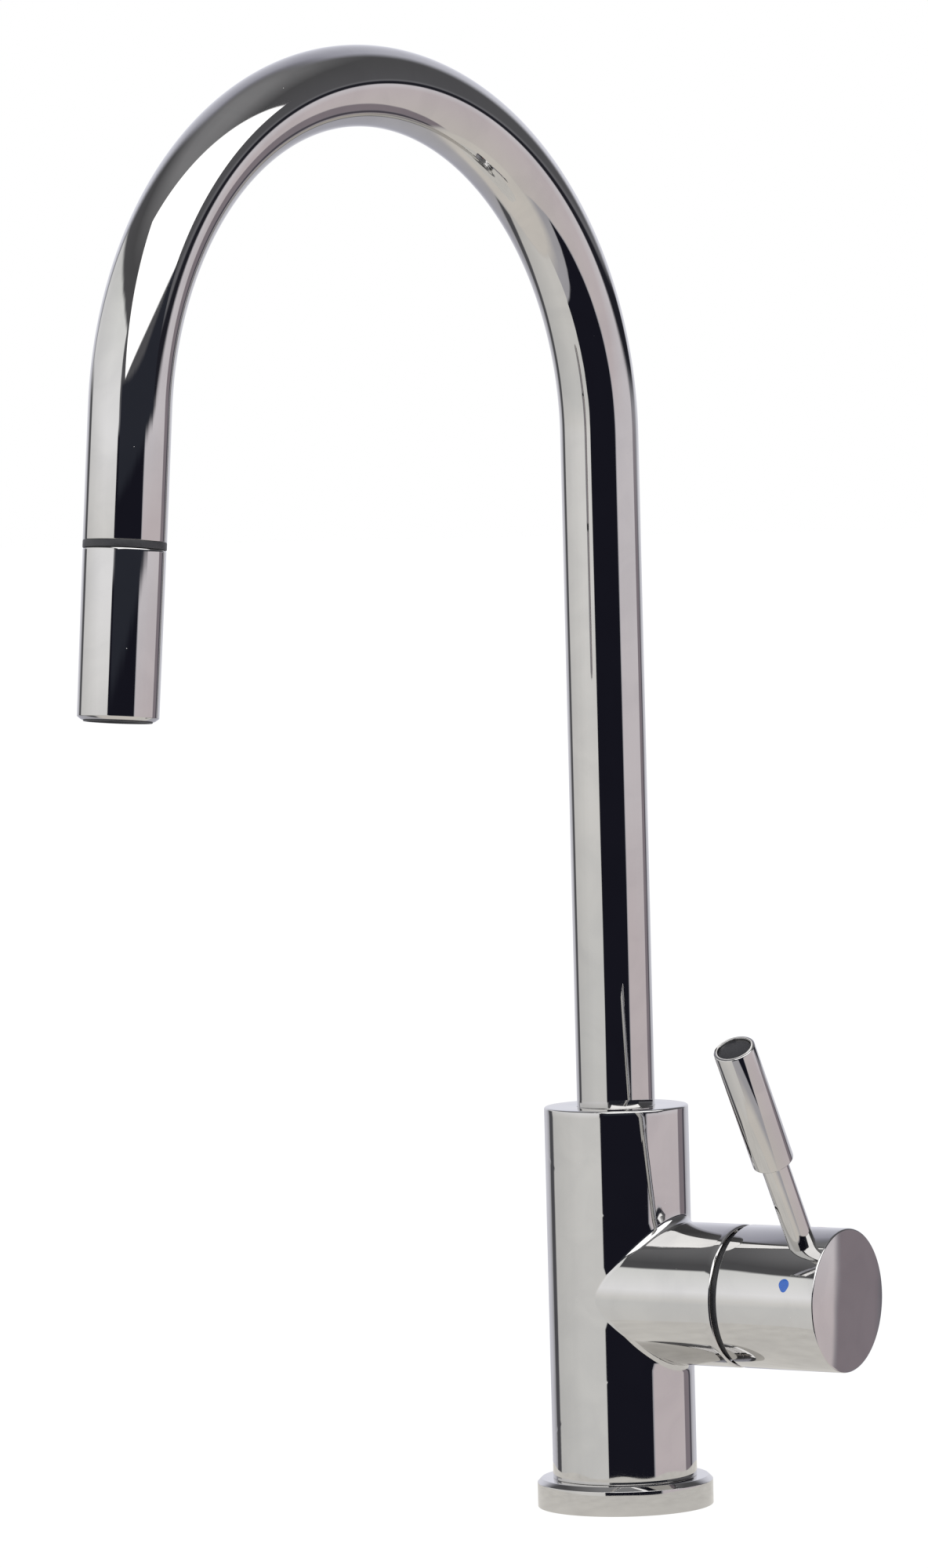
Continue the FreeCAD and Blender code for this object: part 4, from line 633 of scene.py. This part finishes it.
def bend_tree():
    """Geometry Nodes: bends a straight upright tube over a round former in the Y-Z plane."""
    tree, given = shaping_tree("spout_bend", "Riser Top", "Arch Radius", "Arch Angle")
    calc = partial(maths, tree)
    x, y, z = point_place(tree)
    top, radius, bend = (given[label] for label in ("Riser Top", "Arch Radius", "Arch Angle"))
    past = calc("SUBTRACT", z, top)
    angle = calc("MINIMUM", calc("MAXIMUM", calc("DIVIDE", past, radius), 0.0), bend)
    cosine, sine = calc("COSINE", angle), calc("SINE", angle)
    leg = calc("MAXIMUM", calc("SUBTRACT", past, calc("MULTIPLY", bend, radius)), 0.0)
    arm = calc("ADD", y, radius)
    across = calc("SUBTRACT", calc("MULTIPLY", arm, cosine), radius)
    across = calc("SUBTRACT", across, calc("MULTIPLY", leg, sine))
    rise = calc("ADD", calc("MINIMUM", z, top), calc("MULTIPLY", arm, sine))
    rise = calc("ADD", rise, calc("MULTIPLY", leg, cosine))
    return closed_tree(tree, given, moved_points(tree, given, x, across, rise))


tube_foot = measure("spout_tube", deck)[0]
tube_end = RISER_TOP + ARCH_RADIUS * arch_angle + LEG_LENGTH
arch_heights = [RISER_TOP + ARCH_RADIUS * arch_angle * step / ARCH_STEPS for step in range(ARCH_STEPS + 1)]
spout = turned("spout_tube_polished", (
    (TUBE_BORE, tube_foot, 0.2 * MM),
    (TUBE_RADIUS, tube_foot, 0.3 * MM),
    (TUBE_RADIUS, (tube_foot + RISER_TOP) / 2, 0),
    *((TUBE_RADIUS, height, 0) for height in arch_heights),
    (TUBE_RADIUS, tube_end, 0.25 * MM),
    (TUBE_BORE, tube_end, 0.2 * MM),
    *((TUBE_BORE, height, 0) for height in reversed(arch_heights)),
), deck, polished_steel, 112)
grown(spout, bend_tree(), riser_top=RISER_TOP, arch_radius=ARCH_RADIUS, arch_angle=arch_angle,
      finish=polished_steel)
fitted(spout, "spout", "polished_steel", "spout_tube")


# -------------------- docking collar
# A black acetal ring glued over a sleeve into the end of the leg. The spray head seats on its lower face.
def along(origin, way, towards=Vector((1, 0, 0))):
    """A place whose Z axis runs along a way from an origin."""
    side = (towards - way * towards.dot(way)).normalized()
    return Matrix.Translation(origin) @ Matrix((side, way.cross(side), way)).transposed().to_4x4()


leg = along(leg_start, leg_way)
COLLAR_SLEEVE = (25.0 * MM, 12.0 * MM, 10.5 * MM)
_, collar_end, collar_radius = measure("docking_collar", leg)
collar = turned("docking_collar_moulded", (
    (COLLAR_SLEEVE[2], COLLAR_SLEEVE[0], 0.3 * MM),
    (COLLAR_SLEEVE[1] - 0.05 * MM, COLLAR_SLEEVE[0], 0.3 * MM),
    (COLLAR_SLEEVE[1] - 0.05 * MM, LEG_LENGTH, 0),
    (collar_radius, LEG_LENGTH, 0.15 * MM),
    (collar_radius, collar_end, 0.2 * MM),
    (COLLAR_SLEEVE[2], collar_end, 0.4 * MM),
), leg, black_plastic, 128)
fitted(collar, "spout", "black_plastic", "docking_collar")


# -------------------- spray hose
# A rubber hose in a braided nylon sleeve. It slides up through the body and the tube, and its last stretch in
# the leg is drawn out with the head; here that stretch is built from the tube's end to the hose's ferrule, tied to
# no body.
def braid_finish():
    """Two sets of crossing strands wound round the hose, over and under, with painted shade: lighter on the
    strands' crests, darker in the grooves between them.
    """
    material, tree, shader, place = new_finish("hose_braid")
    calc = partial(maths, tree)
    x, y, z = node(tree, "ShaderNodeSeparateXYZ", {0: place}).outputs
    turn = calc("ARCTAN2", y, x)
    strands, lay = 16.0 / (2 * math.pi), 1.0 / (1.7 * MM)
    crests = []
    for sign in (1.0, -1.0):
        count = calc("MULTIPLY", turn, strands * sign)
        line = calc("FRACT", calc("ADD", count, calc("MULTIPLY", z, lay)))
        crests.append(calc("SUBTRACT", 1.0, calc("ABSOLUTE", calc("MULTIPLY_ADD", line, 2.0, -1.0))))
    height = calc("MAXIMUM", *crests)
    fibre = noise(tree, place, 3200.0, 2.0)
    # Painted shade: the colour follows the strands' height, lighter on their crests and darker in the grooves
    # between them, with random fibre tone mixed in.
    shade = calc("MULTIPLY_ADD", fibre, 0.4, calc("MULTIPLY", height, 0.7))
    tint = mixed(tree, shade, (0.13, 0.135, 0.145), (0.55, 0.56, 0.58))
    greasy = group_node(tree, smudges, place, Size=0.02, Cover=0.7).outputs["Mask"]
    tree.links.new(mixed(tree, greasy, tint, (0.3, 0.3, 0.31)), shader.inputs["Base Color"])
    shader.inputs["Roughness"].default_value = 0.5
    shader.inputs["Sheen Weight"].default_value = 0.2
    bumped(tree, shader, 0.8, 0.25 * MM, height)
    return material


hose_braid = braid_finish()
hose_low, hose_high, hose_radius = measure("hose_in_leg", leg)
HOSE_RINGS = 60
hose = turned("hose_in_leg_braided", (
    (0, hose_low, 0),
    *slices(hose_radius, hose_low, hose_high, (hose_high - hose_low) / HOSE_RINGS),
    (0, hose_high, 0),
), leg, hose_braid, 48)
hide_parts("hose_in_leg")
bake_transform(hose)


# -------------------- spray head
# A polished stainless shell over a black core, docked under the collar. A black lip and a grey insert with
# jet holes close its lower end: an aerator that screws into the core.
shell_top, shell_end, shell_radius = measure("head_shell", leg)
SHELL_END_RADIUS = 13.2 * MM
SHELL_BORE = 11.5 * MM
SHELL_TAPER = 1.05 * MM
shell_piece = turned("head_shell_polished", (
    (SHELL_BORE, shell_top, 0.2 * MM),
    (shell_radius, shell_top, 0.6 * MM),
    (shell_radius, shell_top + 1.1 * MM, 0),
    (shell_radius, shell_top + 6 * MM, 0),
    (SHELL_END_RADIUS, shell_end - 0.2 * MM, 0.3 * MM),
    (SHELL_BORE + 0.1 * MM, shell_end + SHELL_TAPER, 0.2 * MM),
    (SHELL_BORE, shell_end, 0),
), leg, polished_steel, 128)
fitted(shell_piece, "spray_head", "polished_steel", "head_shell")

LIP_RADIUS = 11.2 * MM
LIP_BORE = 10.3 * MM
lip_start, lip_end, lip_outer = measure("aerator_housing", leg)
lip = turned("aerator_lip_moulded", (
    (LIP_BORE, lip_start, 0.2 * MM),
    (min(lip_outer, SHELL_BORE) - 0.05 * MM, lip_start, 0.3 * MM),
    (min(lip_outer, SHELL_BORE) - 0.05 * MM, shell_end - 0.6 * MM, 0.2 * MM),
    (LIP_RADIUS, shell_end - 0.2 * MM, 0.1 * MM),
    (LIP_RADIUS, lip_end, 0.35 * MM),
    (LIP_BORE, lip_end, 0.2 * MM),
), leg, black_plastic, 128)
fitted(lip, "spray_head", "black_plastic", "aerator_housing")

JETS = 10
JET_RADIUS = 1.2 * MM
JET_CIRCLE = 6.5 * MM


def jet_tree():
    """Geometry Nodes: copies a mesh round a ring and once in its middle."""
    tree, given = shaping_tree("jet_nozzles", "Count", "Circle Radius")
    circle = node(tree, "GeometryNodeMeshCircle",
                  {"Vertices": given["Count"], "Radius": given["Circle Radius"]})
    centre = node(tree, "GeometryNodeMeshLine", {"Count": 1})
    places = node(tree, "GeometryNodeJoinGeometry")
    tree.links.new(circle.outputs[0], places.inputs[0])
    tree.links.new(centre.outputs[0], places.inputs[0])
    copies = node(tree, "GeometryNodeInstanceOnPoints",
                  {"Points": places.outputs[0], "Instance": given["Geometry"]})
    return closed_tree(tree, given, copies)


insert_start, insert_end, insert_radius = measure("aerator_insert", leg)
NOZZLE_FOOT = 1.2 * MM
NOZZLE_WALL = 0.35 * MM
insert = turned("insert_plate", (
    (0, insert_start, 0),
    (insert_radius, insert_start, 0.3 * MM),
    (insert_radius, insert_end - NOZZLE_FOOT, 0.3 * MM),
    (0, insert_end - NOZZLE_FOOT, 0),
), deck, grey_plastic, 96)
nozzles = turned("insert_nozzles", (
    (JET_RADIUS, insert_end - NOZZLE_FOOT - 0.3 * MM, 0),
    (JET_RADIUS + 2 * NOZZLE_WALL, insert_end - NOZZLE_FOOT - 0.3 * MM, 0),
    (JET_RADIUS + NOZZLE_WALL, insert_end, 0.15 * MM),
    (JET_RADIUS, insert_end, 0.1 * MM),
), deck, grey_plastic, 24)
jet_nozzles = jet_tree()
grown(nozzles, jet_nozzles, count=JETS, circle_radius=JET_CIRCLE, finish=grey_plastic)
# Painted shade: the plate is not pierced, so a black disc at each jet's floor stands for the dark inside the open
# jet.
jet_shade_discs = turned("insert_jets", (
    (0, insert_end - NOZZLE_FOOT - 0.3 * MM, 0),
    (JET_RADIUS, insert_end - NOZZLE_FOOT - 0.3 * MM, 0),
    (JET_RADIUS, insert_end - NOZZLE_FOOT + 0.05 * MM, 0),
    (0, insert_end - NOZZLE_FOOT + 0.05 * MM, 0),
), deck, black_plastic, 24)
grown(jet_shade_discs, jet_nozzles, count=JETS, circle_radius=JET_CIRCLE, finish=black_plastic)
for piece in (insert, nozzles, jet_shade_discs):
    piece.data.transform(leg)
fitted(insert, "spray_head", "grey_plastic", "aerator_insert")
fitted(nozzles, "spray_head", "grey_plastic", "aerator_insert")
fitted(jet_shade_discs, "spray_head", "black_plastic", "aerator_insert")


# -------------------- mixer handle
# A solid polished stainless cap over the cartridge, with a thin bevelled rim beside the branch, and a pin
# lever: a slim stem screwed into the cap and a thicker grip with a black plug in its end.
branch_start = hub - branch_way * hub.xy.dot(branch_way.xy)
lever_way = Vector(joints["disc_slide"]["axis"]).normalized()
branch = along(branch_start, branch_way, lever_way)
rim_start, cap_end, cap_radius = measure("handle_cap", branch)
CAP_RIM = 0.6 * MM
CAP_MOUTH = (21.5 * MM, 2.5 * MM)
CAP_SOLID = 74.0 * MM
cap = turned("handle_cap_polished", (
    (0, cap_end, 0),
    (cap_radius, cap_end, 0.55 * MM),
    (cap_radius, (rim_start + cap_end) / 2, 0),
    (cap_radius, rim_start, 0.15 * MM),
    (cap_radius - CAP_RIM, rim_start, 0.1 * MM),
    (CAP_MOUTH[0], rim_start + CAP_MOUTH[1], 0),
    (CAP_MOUTH[0], CAP_SOLID, 0.5 * MM),
    (0, CAP_SOLID, 0),
), branch, polished_steel, 160)
lever_reach = sum(measure("lever_grip", branch)[:2]) / 2
lever = along(branch_start + branch_way * lever_reach, lever_way)
stem_start = measure("lever_stem", lever)[0]
grip_start, grip_end, grip_radius = measure("lever_grip", lever)
STEM_RADIUS = 4.75 * MM
stem_seat = lever @ Matrix.Translation((0, 0, stem_start - 0.05 * MM))
drilled(cap, STEM_RADIUS + 0.04 * MM, 6 * MM, stem_seat)
SCREW_HOLE = (2.7 * MM, 68.0 * MM)
screw_way = along(branch_start + branch_way * SCREW_HOLE[1], -lever_way)
drilled(cap, SCREW_HOLE[0], 8 * MM, screw_way @ Matrix.Translation((0, 0, 19 * MM)))
fitted(cap, "handle", "polished_steel", "handle_cap")

stem = turned("lever_stem_polished", (
    (0, stem_start, 0),
    (STEM_RADIUS, stem_start, 0.15 * MM),
    (STEM_RADIUS, grip_start, 0),
    (0, grip_start, 0),
), lever, polished_steel, 96)
fitted(stem, "handle", "polished_steel", "lever_stem")

PLUG_RADIUS = 5.8 * MM
PLUG_DEPTH = 0.6 * MM
grip = turned("lever_grip_polished", (
    (0, grip_start, 0),
    (grip_radius, grip_start, 0.45 * MM),
    (grip_radius, grip_end, 0.45 * MM),
    (PLUG_RADIUS + 0.05 * MM, grip_end, 0.15 * MM),
    (PLUG_RADIUS + 0.05 * MM, grip_end - 1.5 * MM, 0),
    (0, grip_end - 1.5 * MM, 0),
), lever, polished_steel, 112)
fitted(grip, "handle", "polished_steel", "lever_grip")
plug = turned("grip_end_plug_moulded", (
    (0, grip_end - 1.5 * MM, 0),
    (PLUG_RADIUS, grip_end - 1.5 * MM, 0),
    (PLUG_RADIUS, grip_end - PLUG_DEPTH, 0.3 * MM),
    (0, grip_end - PLUG_DEPTH, 0),
), lever, black_plastic, 96)
fitted(plug, "handle", "black_plastic", "grip_end_plug")


# -------------------- temperature marks
# Two small drops of enamel in the cap's side, blue for cold and red for hot, each in its own engraving.
def enamel_finish(name, colour, deep):
    """Glossy stove enamel, darker where it pools."""
    material, tree, shader, place = new_finish(name)
    pool = noise(tree, place, 900.0, 2.0)
    tree.links.new(mixed(tree, pool, colour, deep), shader.inputs["Base Color"])
    tree.links.new(maths(tree, "MULTIPLY_ADD", pool, 0.1, 0.12), shader.inputs["Roughness"])
    shader.inputs["Coat Weight"].default_value = 0.6
    bumped(tree, shader, 0.3, 0.05 * MM, pool)
    return material


MARK_SIZE = 2.7 * MM
MARK_ROUND = 0.72          # the drop's round part, as a share of its length to the tip
MARK_POINT = 6             # how sharply the tip comes to its point
MARK_DEPTH = 0.25 * MM
MARK_CROWN = 0.06 * MM
MARK_RINGS = 6
MARK_SIDES = 48


def enamel_drop(name, material, centre):
    """A drop-shaped pool of enamel that follows the cap's round side, pointed towards the deck."""
    shell = bmesh.new()
    outward = (centre - branch_start - branch_way * (centre - branch_start).dot(branch_way)).normalized()
    middle = (centre - branch_start).dot(branch_way)
    down = Vector((0, 0, -1))
    round_way = outward.cross(branch_way)
    point_way = (down - outward * down.dot(outward))
    lean = math.atan2(point_way.dot(round_way), point_way.dot(branch_way))
    rows = []
    for layer in range(2):
        for ring in range(MARK_RINGS + 1):
            share = ring / MARK_RINGS if layer == 0 else 1 - ring / MARK_RINGS
            points = []
            for side in range(MARK_SIDES if share else 1):
                at = 2 * math.pi * side / MARK_SIDES
                reach = max(0.0, math.cos(at)) ** MARK_POINT
                tip = MARK_SIZE * (MARK_ROUND + (1 - MARK_ROUND) * reach)
                u = share * tip * math.cos(at + lean)
                v = share * tip * math.sin(at + lean)
                sink = -MARK_DEPTH if layer == 0 else MARK_CROWN * (1 - share ** 4)
                turn = v / cap_radius
                radial = outward * math.cos(turn) + round_way * math.sin(turn)
                points.append(shell.verts.new(
                    branch_start + branch_way * (middle + u) + radial * (cap_radius + sink)))
            rows.append(points)
    rows_to_faces(shell, rows, True)
    return as_piece(shell, name, deck, material, 50)


cold_enamel = enamel_finish("blue_enamel", (0.01, 0.13, 0.56), (0.005, 0.08, 0.4))
hot_enamel = enamel_finish("red_enamel", (0.6, 0.02, 0.02), (0.33, 0.01, 0.01))
for mark, enamel, slot_name in (
    ("cold_index", cold_enamel, "blue_mark"),
    ("hot_index", hot_enamel, "red_mark"),
):
    low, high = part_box(mark)
    fitted(enamel_drop(f"{mark}_enamel", enamel, (low + high) / 2), "handle", slot_name, mark)


# -------------------- pieces that keep their CAD meshes
# Washers, seals, the cartridge, hose runs and fittings are plain turned and moulded parts, most of them out
# of sight. Each takes the finish of its material slot.
finish_of_slot = {
    "polished_steel": polished_steel,
    "black_plastic": black_plastic,
    "black_rubber": rubber,
    "brass": brass,
    "raw_steel": zinc,
    "ceramic": ceramic,
    "grey_plastic": grey_plastic,
    "white_plastic": white_plastic,
    "hose_braid": hose_braid,
    "blue_mark": cold_enamel,
    "red_mark": hot_enamel,
}
for subpart in frame["record"]["subparts"]:
    mesh = frame["nodes"][subpart["node"]].data
    mesh.materials.clear()
    mesh.materials.append(finish_of_slot[subpart["material_slot"]])


# -------------------- studio
# A plain white floor, soft white and warm grey walls, one large soft light above the camera and the dark
# space round the camera itself. The floor is seen through from below, so the fixing can be looked at.
CAMERA_TURN = 0.6961
CAMERA_DISTANCE = 2383.2 * MM
CAMERA_HEIGHT = 351.6 * MM
CAMERA_YAW = 0.0209
CAMERA_PITCH = -0.0419
CAMERA_ROLL = -0.0258
CAMERA_LENS = 158.29
FLOOR_RADIUS = 40.0
FLOOR_DROP = 0.1 * MM
FLOOR_GLOW = 1.08
FLOOR_GLOW_SHARE = 0.9


def open_below(material, surface):
    """The material shows its surface from above and is clear from below."""
    tree = material.node_tree
    clear = node(tree, "ShaderNodeBsdfTransparent")
    below = node(tree, "ShaderNodeNewGeometry").outputs["Backfacing"]
    shown = node(tree, "ShaderNodeMixShader", {0: below, 1: surface.outputs[0], 2: clear.outputs[0]})
    out = tree.nodes.new("ShaderNodeOutputMaterial")
    tree.links.new(shown.outputs[0], out.inputs["Surface"])
    return material


def empty_finish(name):
    """A material without nodes, and its tree."""
    material = bpy.data.materials.new(name)
    material.use_nodes = True
    material.node_tree.nodes.clear()
    return material, material.node_tree


def flat_stage(name, corners, material):
    """One face of the stage."""
    mesh = bpy.data.meshes.new(name)
    mesh.from_pydata(corners, [], [tuple(range(len(corners)))])
    mesh.materials.append(material)
    made = bpy.data.objects.new(name, mesh)
    bpy.context.scene.collection.objects.link(made)
    return made


floor_finish, tree = empty_finish("white_floor")
paper = node(tree, "ShaderNodeBsdfDiffuse", {"Color": (0.9, 0.9, 0.9, 1.0)})
glow = node(tree, "ShaderNodeEmission", {"Color": (1.0, 1.0, 1.0, 1.0), "Strength": FLOOR_GLOW})
both = node(tree, "ShaderNodeMixShader", {0: FLOOR_GLOW_SHARE, 1: paper.outputs[0], 2: glow.outputs[0]})
floor = flat_stage("floor", [
    (x * FLOOR_RADIUS, y * FLOOR_RADIUS, -FLOOR_DROP) for x, y in ((-1, -1), (1, -1), (1, 1), (-1, 1))
], open_below(floor_finish, both))
floor.visible_glossy = False

# The deck close round the faucet shows only in its reflections: a slightly warmer, cloudy white.
NEAR_RADIUS = 112.0 * MM
NEAR_DROP = 0.05 * MM
NEAR_POINTS = 72
NEAR_LOBES = 5
NEAR_LOBE = 0.04
near_finish, tree = empty_finish("near_floor")
place = node(tree, "ShaderNodeTexCoord").outputs["Object"]
shade = mixed(tree, noise(tree, place, 60.0, 2.0), (0.86, 0.84, 0.8), (0.66, 0.64, 0.61))
glow = node(tree, "ShaderNodeEmission", {"Color": shade, "Strength": 1.0})
near_corners = []
for point in range(NEAR_POINTS):
    angle = 2 * math.pi * point / NEAR_POINTS
    reach = NEAR_RADIUS * (1 + NEAR_LOBE * math.sin(NEAR_LOBES * angle))
    near_corners.append((reach * math.cos(angle), reach * math.sin(angle), -NEAR_DROP))
near_floor = flat_stage("near_floor", near_corners, open_below(near_finish, glow))
near_floor.visible_camera = False
near_floor.visible_diffuse = False
near_floor.visible_shadow = False

world = bpy.data.worlds.new("studio")
bpy.context.scene.world = world
world.use_nodes = True
sky = world.node_tree
sky.nodes.clear()
direction = node(sky, "ShaderNodeTexCoord").outputs["Generated"]


def part_of(way):
    """How far the direction goes along a way given as (camera's right, towards the camera, up)."""
    right = Vector((math.cos(CAMERA_TURN), math.sin(CAMERA_TURN), 0))
    toward = Vector((math.sin(CAMERA_TURN), -math.cos(CAMERA_TURN), 0))
    vector = right * way[0] + toward * way[1] + Vector((0, 0, way[2]))
    product = node(sky, "ShaderNodeVectorMath", {0: direction, 1: tuple(vector)}, operation="DOT_PRODUCT")
    return product.outputs["Value"]


calc = partial(maths, sky)
RUFFLE = 3.0               # how far the walls' edges wander, in degrees
shake = calc("MULTIPLY_ADD", noise(sky, direction, 7.0, 2.0), RUFFLE, -RUFFLE / 2)
around = calc("DEGREES", calc("ARCTAN2", part_of((1, 0, 0)), part_of((0, 1, 0))))
side = calc("ADD", around, shake)
upward = calc("DEGREES", calc("ARCSINE", part_of((0, 0, 1))))
lift = calc("ADD", upward, calc("MULTIPLY", shake, 0.5))


def step_up(value, edge, soft):
    """0 below an edge and 1 above it; the edge is a number or a socket."""
    if isinstance(edge, bpy.types.NodeSocket):
        return between_values(sky, calc("SUBTRACT", value, edge), -soft, soft, "SMOOTHSTEP")
    return between_values(sky, value, edge - soft, edge + soft, "SMOOTHSTEP")


def within(value, low, high, soft):
    """A band from low to high with soft edges."""
    return calc("MULTIPLY", step_up(value, low, soft), calc("SUBTRACT", 1.0, step_up(value, high, soft)))


def both_masks(*masks):
    """Where every mask is on."""
    made = masks[0]
    for mask in masks[1:]:
        made = calc("MULTIPLY", made, mask)
    return made


def shaded(value, stops):
    """Grey levels and colours over a value, from (value, colour) stops."""
    low, high = stops[0][0], stops[-1][0]
    ramp = node(sky, "ShaderNodeValToRGB", {0: between_values(sky, value, low, high)})
    elements = ramp.color_ramp.elements
    while len(elements) < len(stops):
        elements.new(0.5)
    for element, (at, colour) in zip(elements, stops):
        element.position = (at - low) / (high - low)
    for element, (at, colour) in zip(elements, stops):
        element.color = (*colour, 1.0)
    return ramp.outputs["Color"]


def panel(base, across, across_soft, upright, upright_soft, colour):
    """The base with a colour laid over a range of directions."""
    mask = both_masks(within(side, *across, across_soft), within(lift, *upright, upright_soft))
    return mixed(sky, mask, base, colour)


# Low and high edges in degrees: across from the camera's side, positive to its right, and up from level.
LEFT_WALL = (-137.0, -25.0)
LEFT_WALL_MIDDLE, LEFT_WALL_HALF, LEFT_WALL_TOP, LEFT_WALL_SAG = -75.0, 57.0, 37.0, 11.0
LEFT_WALL_END = (-137.0, -123.0)
RIGHT_WALL = (50.0, 116.0)
RIGHT_MAUVE = (116.0, 131.0)
RIGHT_DARK = (131.0, 138.0)
RIGHT_LEDGE = (62.0, 142.0)
DARK_FRONT = (-26.5, 48.0)
DARK_SHELF = (-21.0, 72.0)
look = shaded(lift, (
    (-90, (0.83, 0.78, 0.72)), (-62, (0.8, 0.76, 0.71)), (-52, (0.5, 0.49, 0.52)),
    (0, (0.42, 0.42, 0.46)), (12, (0.12, 0.12, 0.13)), (45, (0.1, 0.1, 0.105)),
    (72, (0.27, 0.27, 0.28)), (90, (0.3, 0.3, 0.31))))
behind = calc("ABSOLUTE", side)
back_wall = shaded(lift, (
    (-60, (0.55, 0.54, 0.56)), (-20, (0.48, 0.48, 0.54)), (0, (0.78, 0.78, 0.84)),
    (12, (0.85, 0.86, 0.95)), (60, (0.36, 0.36, 0.43))))
back_mask = both_masks(within(behind, 142.0, 400.0, 10.0), within(lift, -58.0, 58.0, 8.0))
look = mixed(sky, back_mask, look, back_wall)
from_middle = calc("DIVIDE", calc("SUBTRACT", side, LEFT_WALL_MIDDLE), LEFT_WALL_HALF)
sag = calc("MULTIPLY", calc("POWER", calc("ABSOLUTE", from_middle), 2.0), LEFT_WALL_SAG)
left_top = calc("SUBTRACT", LEFT_WALL_TOP, sag)
left_wall = shaded(lift, (
    (-60, (0.82, 0.8, 0.77)), (-9, (0.8, 0.8, 0.79)), (-3, (0.9, 0.89, 0.87)),
    (8, (1.1, 1.1, 1.12)), (35, (0.95, 0.96, 0.95))))
far_wall = mixed(sky, 0.25, left_wall, (0.3, 0.3, 0.3))
left_wall = mixed(sky, between_values(sky, side, -118.0, -60.0), far_wall, left_wall)
look = panel(look, LEFT_WALL, 1.2, (-60.0, left_top), 1.5, left_wall)
look = panel(look, LEFT_WALL_END, 2.5, (-56.0, 8.0), 3.0, (0.1, 0.1, 0.11))
right_wall = shaded(lift, (
    (-60, (0.74, 0.69, 0.66)), (-7, (0.72, 0.645, 0.67)), (0, (0.8, 0.76, 0.8)),
    (12, (0.88, 0.86, 0.92))))
look = panel(look, RIGHT_WALL, 1.2, (-60.0, 3.0), 1.2, right_wall)
look = panel(look, RIGHT_MAUVE, 1.5, (-57.0, 1.0), 2.0, (0.29, 0.25, 0.28))
look = panel(look, RIGHT_DARK, 2.0, (-57.0, 0.0), 2.0, (0.09, 0.08, 0.1))
look = panel(look, RIGHT_LEDGE, 3.0, (2.5, 8.0), 1.2, (0.02, 0.02, 0.028))
look = panel(look, DARK_FRONT, 0.8, (-43.0, 8.0), 1.0, (0.012, 0.012, 0.02))
look = panel(look, DARK_SHELF, 1.0, (2.0, 15.0), 1.2, (0.03, 0.033, 0.045))

# The large light is a flat four-sided panel: its outward way, then its edges in its own plane.
LIGHT_WAY = (0.314, 0.673, 0.669)
LIGHT_ACROSS = (0.906, -0.423, 0.0)
LIGHT_UP = (-0.283, -0.606, 0.743)
LIGHT_LEFT, LIGHT_LOW, LIGHT_EDGE = -0.8, -0.41, 0.012
ahead = part_of(LIGHT_WAY)
box_x = calc("DIVIDE", part_of(LIGHT_ACROSS), ahead)
box_y = calc("DIVIDE", part_of(LIGHT_UP), ahead)
box_top = calc("MULTIPLY_ADD", box_x, -0.36, 0.56)
box_right = calc("MULTIPLY_ADD", box_y, 0.77, 1.3)
softbox = both_masks(within(box_x, LIGHT_LEFT, box_right, LIGHT_EDGE),
                     within(box_y, LIGHT_LOW, box_top, LIGHT_EDGE),
                     calc("GREATER_THAN", ahead, 0.05))
look = mixed(sky, softbox, look, (1.9, 1.9, 1.92))

seen = node(sky, "ShaderNodeBackground", {"Color": (1.0, 1.0, 1.0, 1.0), "Strength": 1.0})
reflected = node(sky, "ShaderNodeBackground", {"Color": look, "Strength": 1.0})
ray = node(sky, "ShaderNodeLightPath")
chosen = node(sky, "ShaderNodeMixShader",
              {0: ray.outputs["Is Camera Ray"], 1: reflected.outputs[0], 2: seen.outputs[0]})
world_out = sky.nodes.new("ShaderNodeOutputWorld")
sky.links.new(chosen.outputs[0], world_out.inputs["Surface"])

away = -Vector((math.sin(CAMERA_TURN + CAMERA_YAW), -math.cos(CAMERA_TURN + CAMERA_YAW), 0))
ahead_way = away * math.cos(CAMERA_PITCH) + Vector((0, 0, math.sin(CAMERA_PITCH)))
level = ahead_way.cross(Vector((0, 0, 1))).normalized()
above = level.cross(ahead_way)
right_way = level * math.cos(CAMERA_ROLL) + above * math.sin(CAMERA_ROLL)
up_way = above * math.cos(CAMERA_ROLL) - level * math.sin(CAMERA_ROLL)
camera_data = bpy.data.cameras.new("camera")
camera_data.lens = CAMERA_LENS
camera_data.sensor_fit = "VERTICAL"
camera_data.sensor_height = 36.0
camera_data.clip_end = 100.0
camera = bpy.data.objects.new("camera", camera_data)
camera_place = Vector((
    math.sin(CAMERA_TURN) * CAMERA_DISTANCE,
    -math.cos(CAMERA_TURN) * CAMERA_DISTANCE,
    CAMERA_HEIGHT,
))
camera.matrix_world = Matrix.Translation(camera_place) @ Matrix(
    (right_way, up_way, -ahead_way)).transposed().to_4x4()
bpy.context.scene.collection.objects.link(camera)
bpy.context.scene.camera = camera
bpy.context.scene.view_settings.view_transform = "Standard"
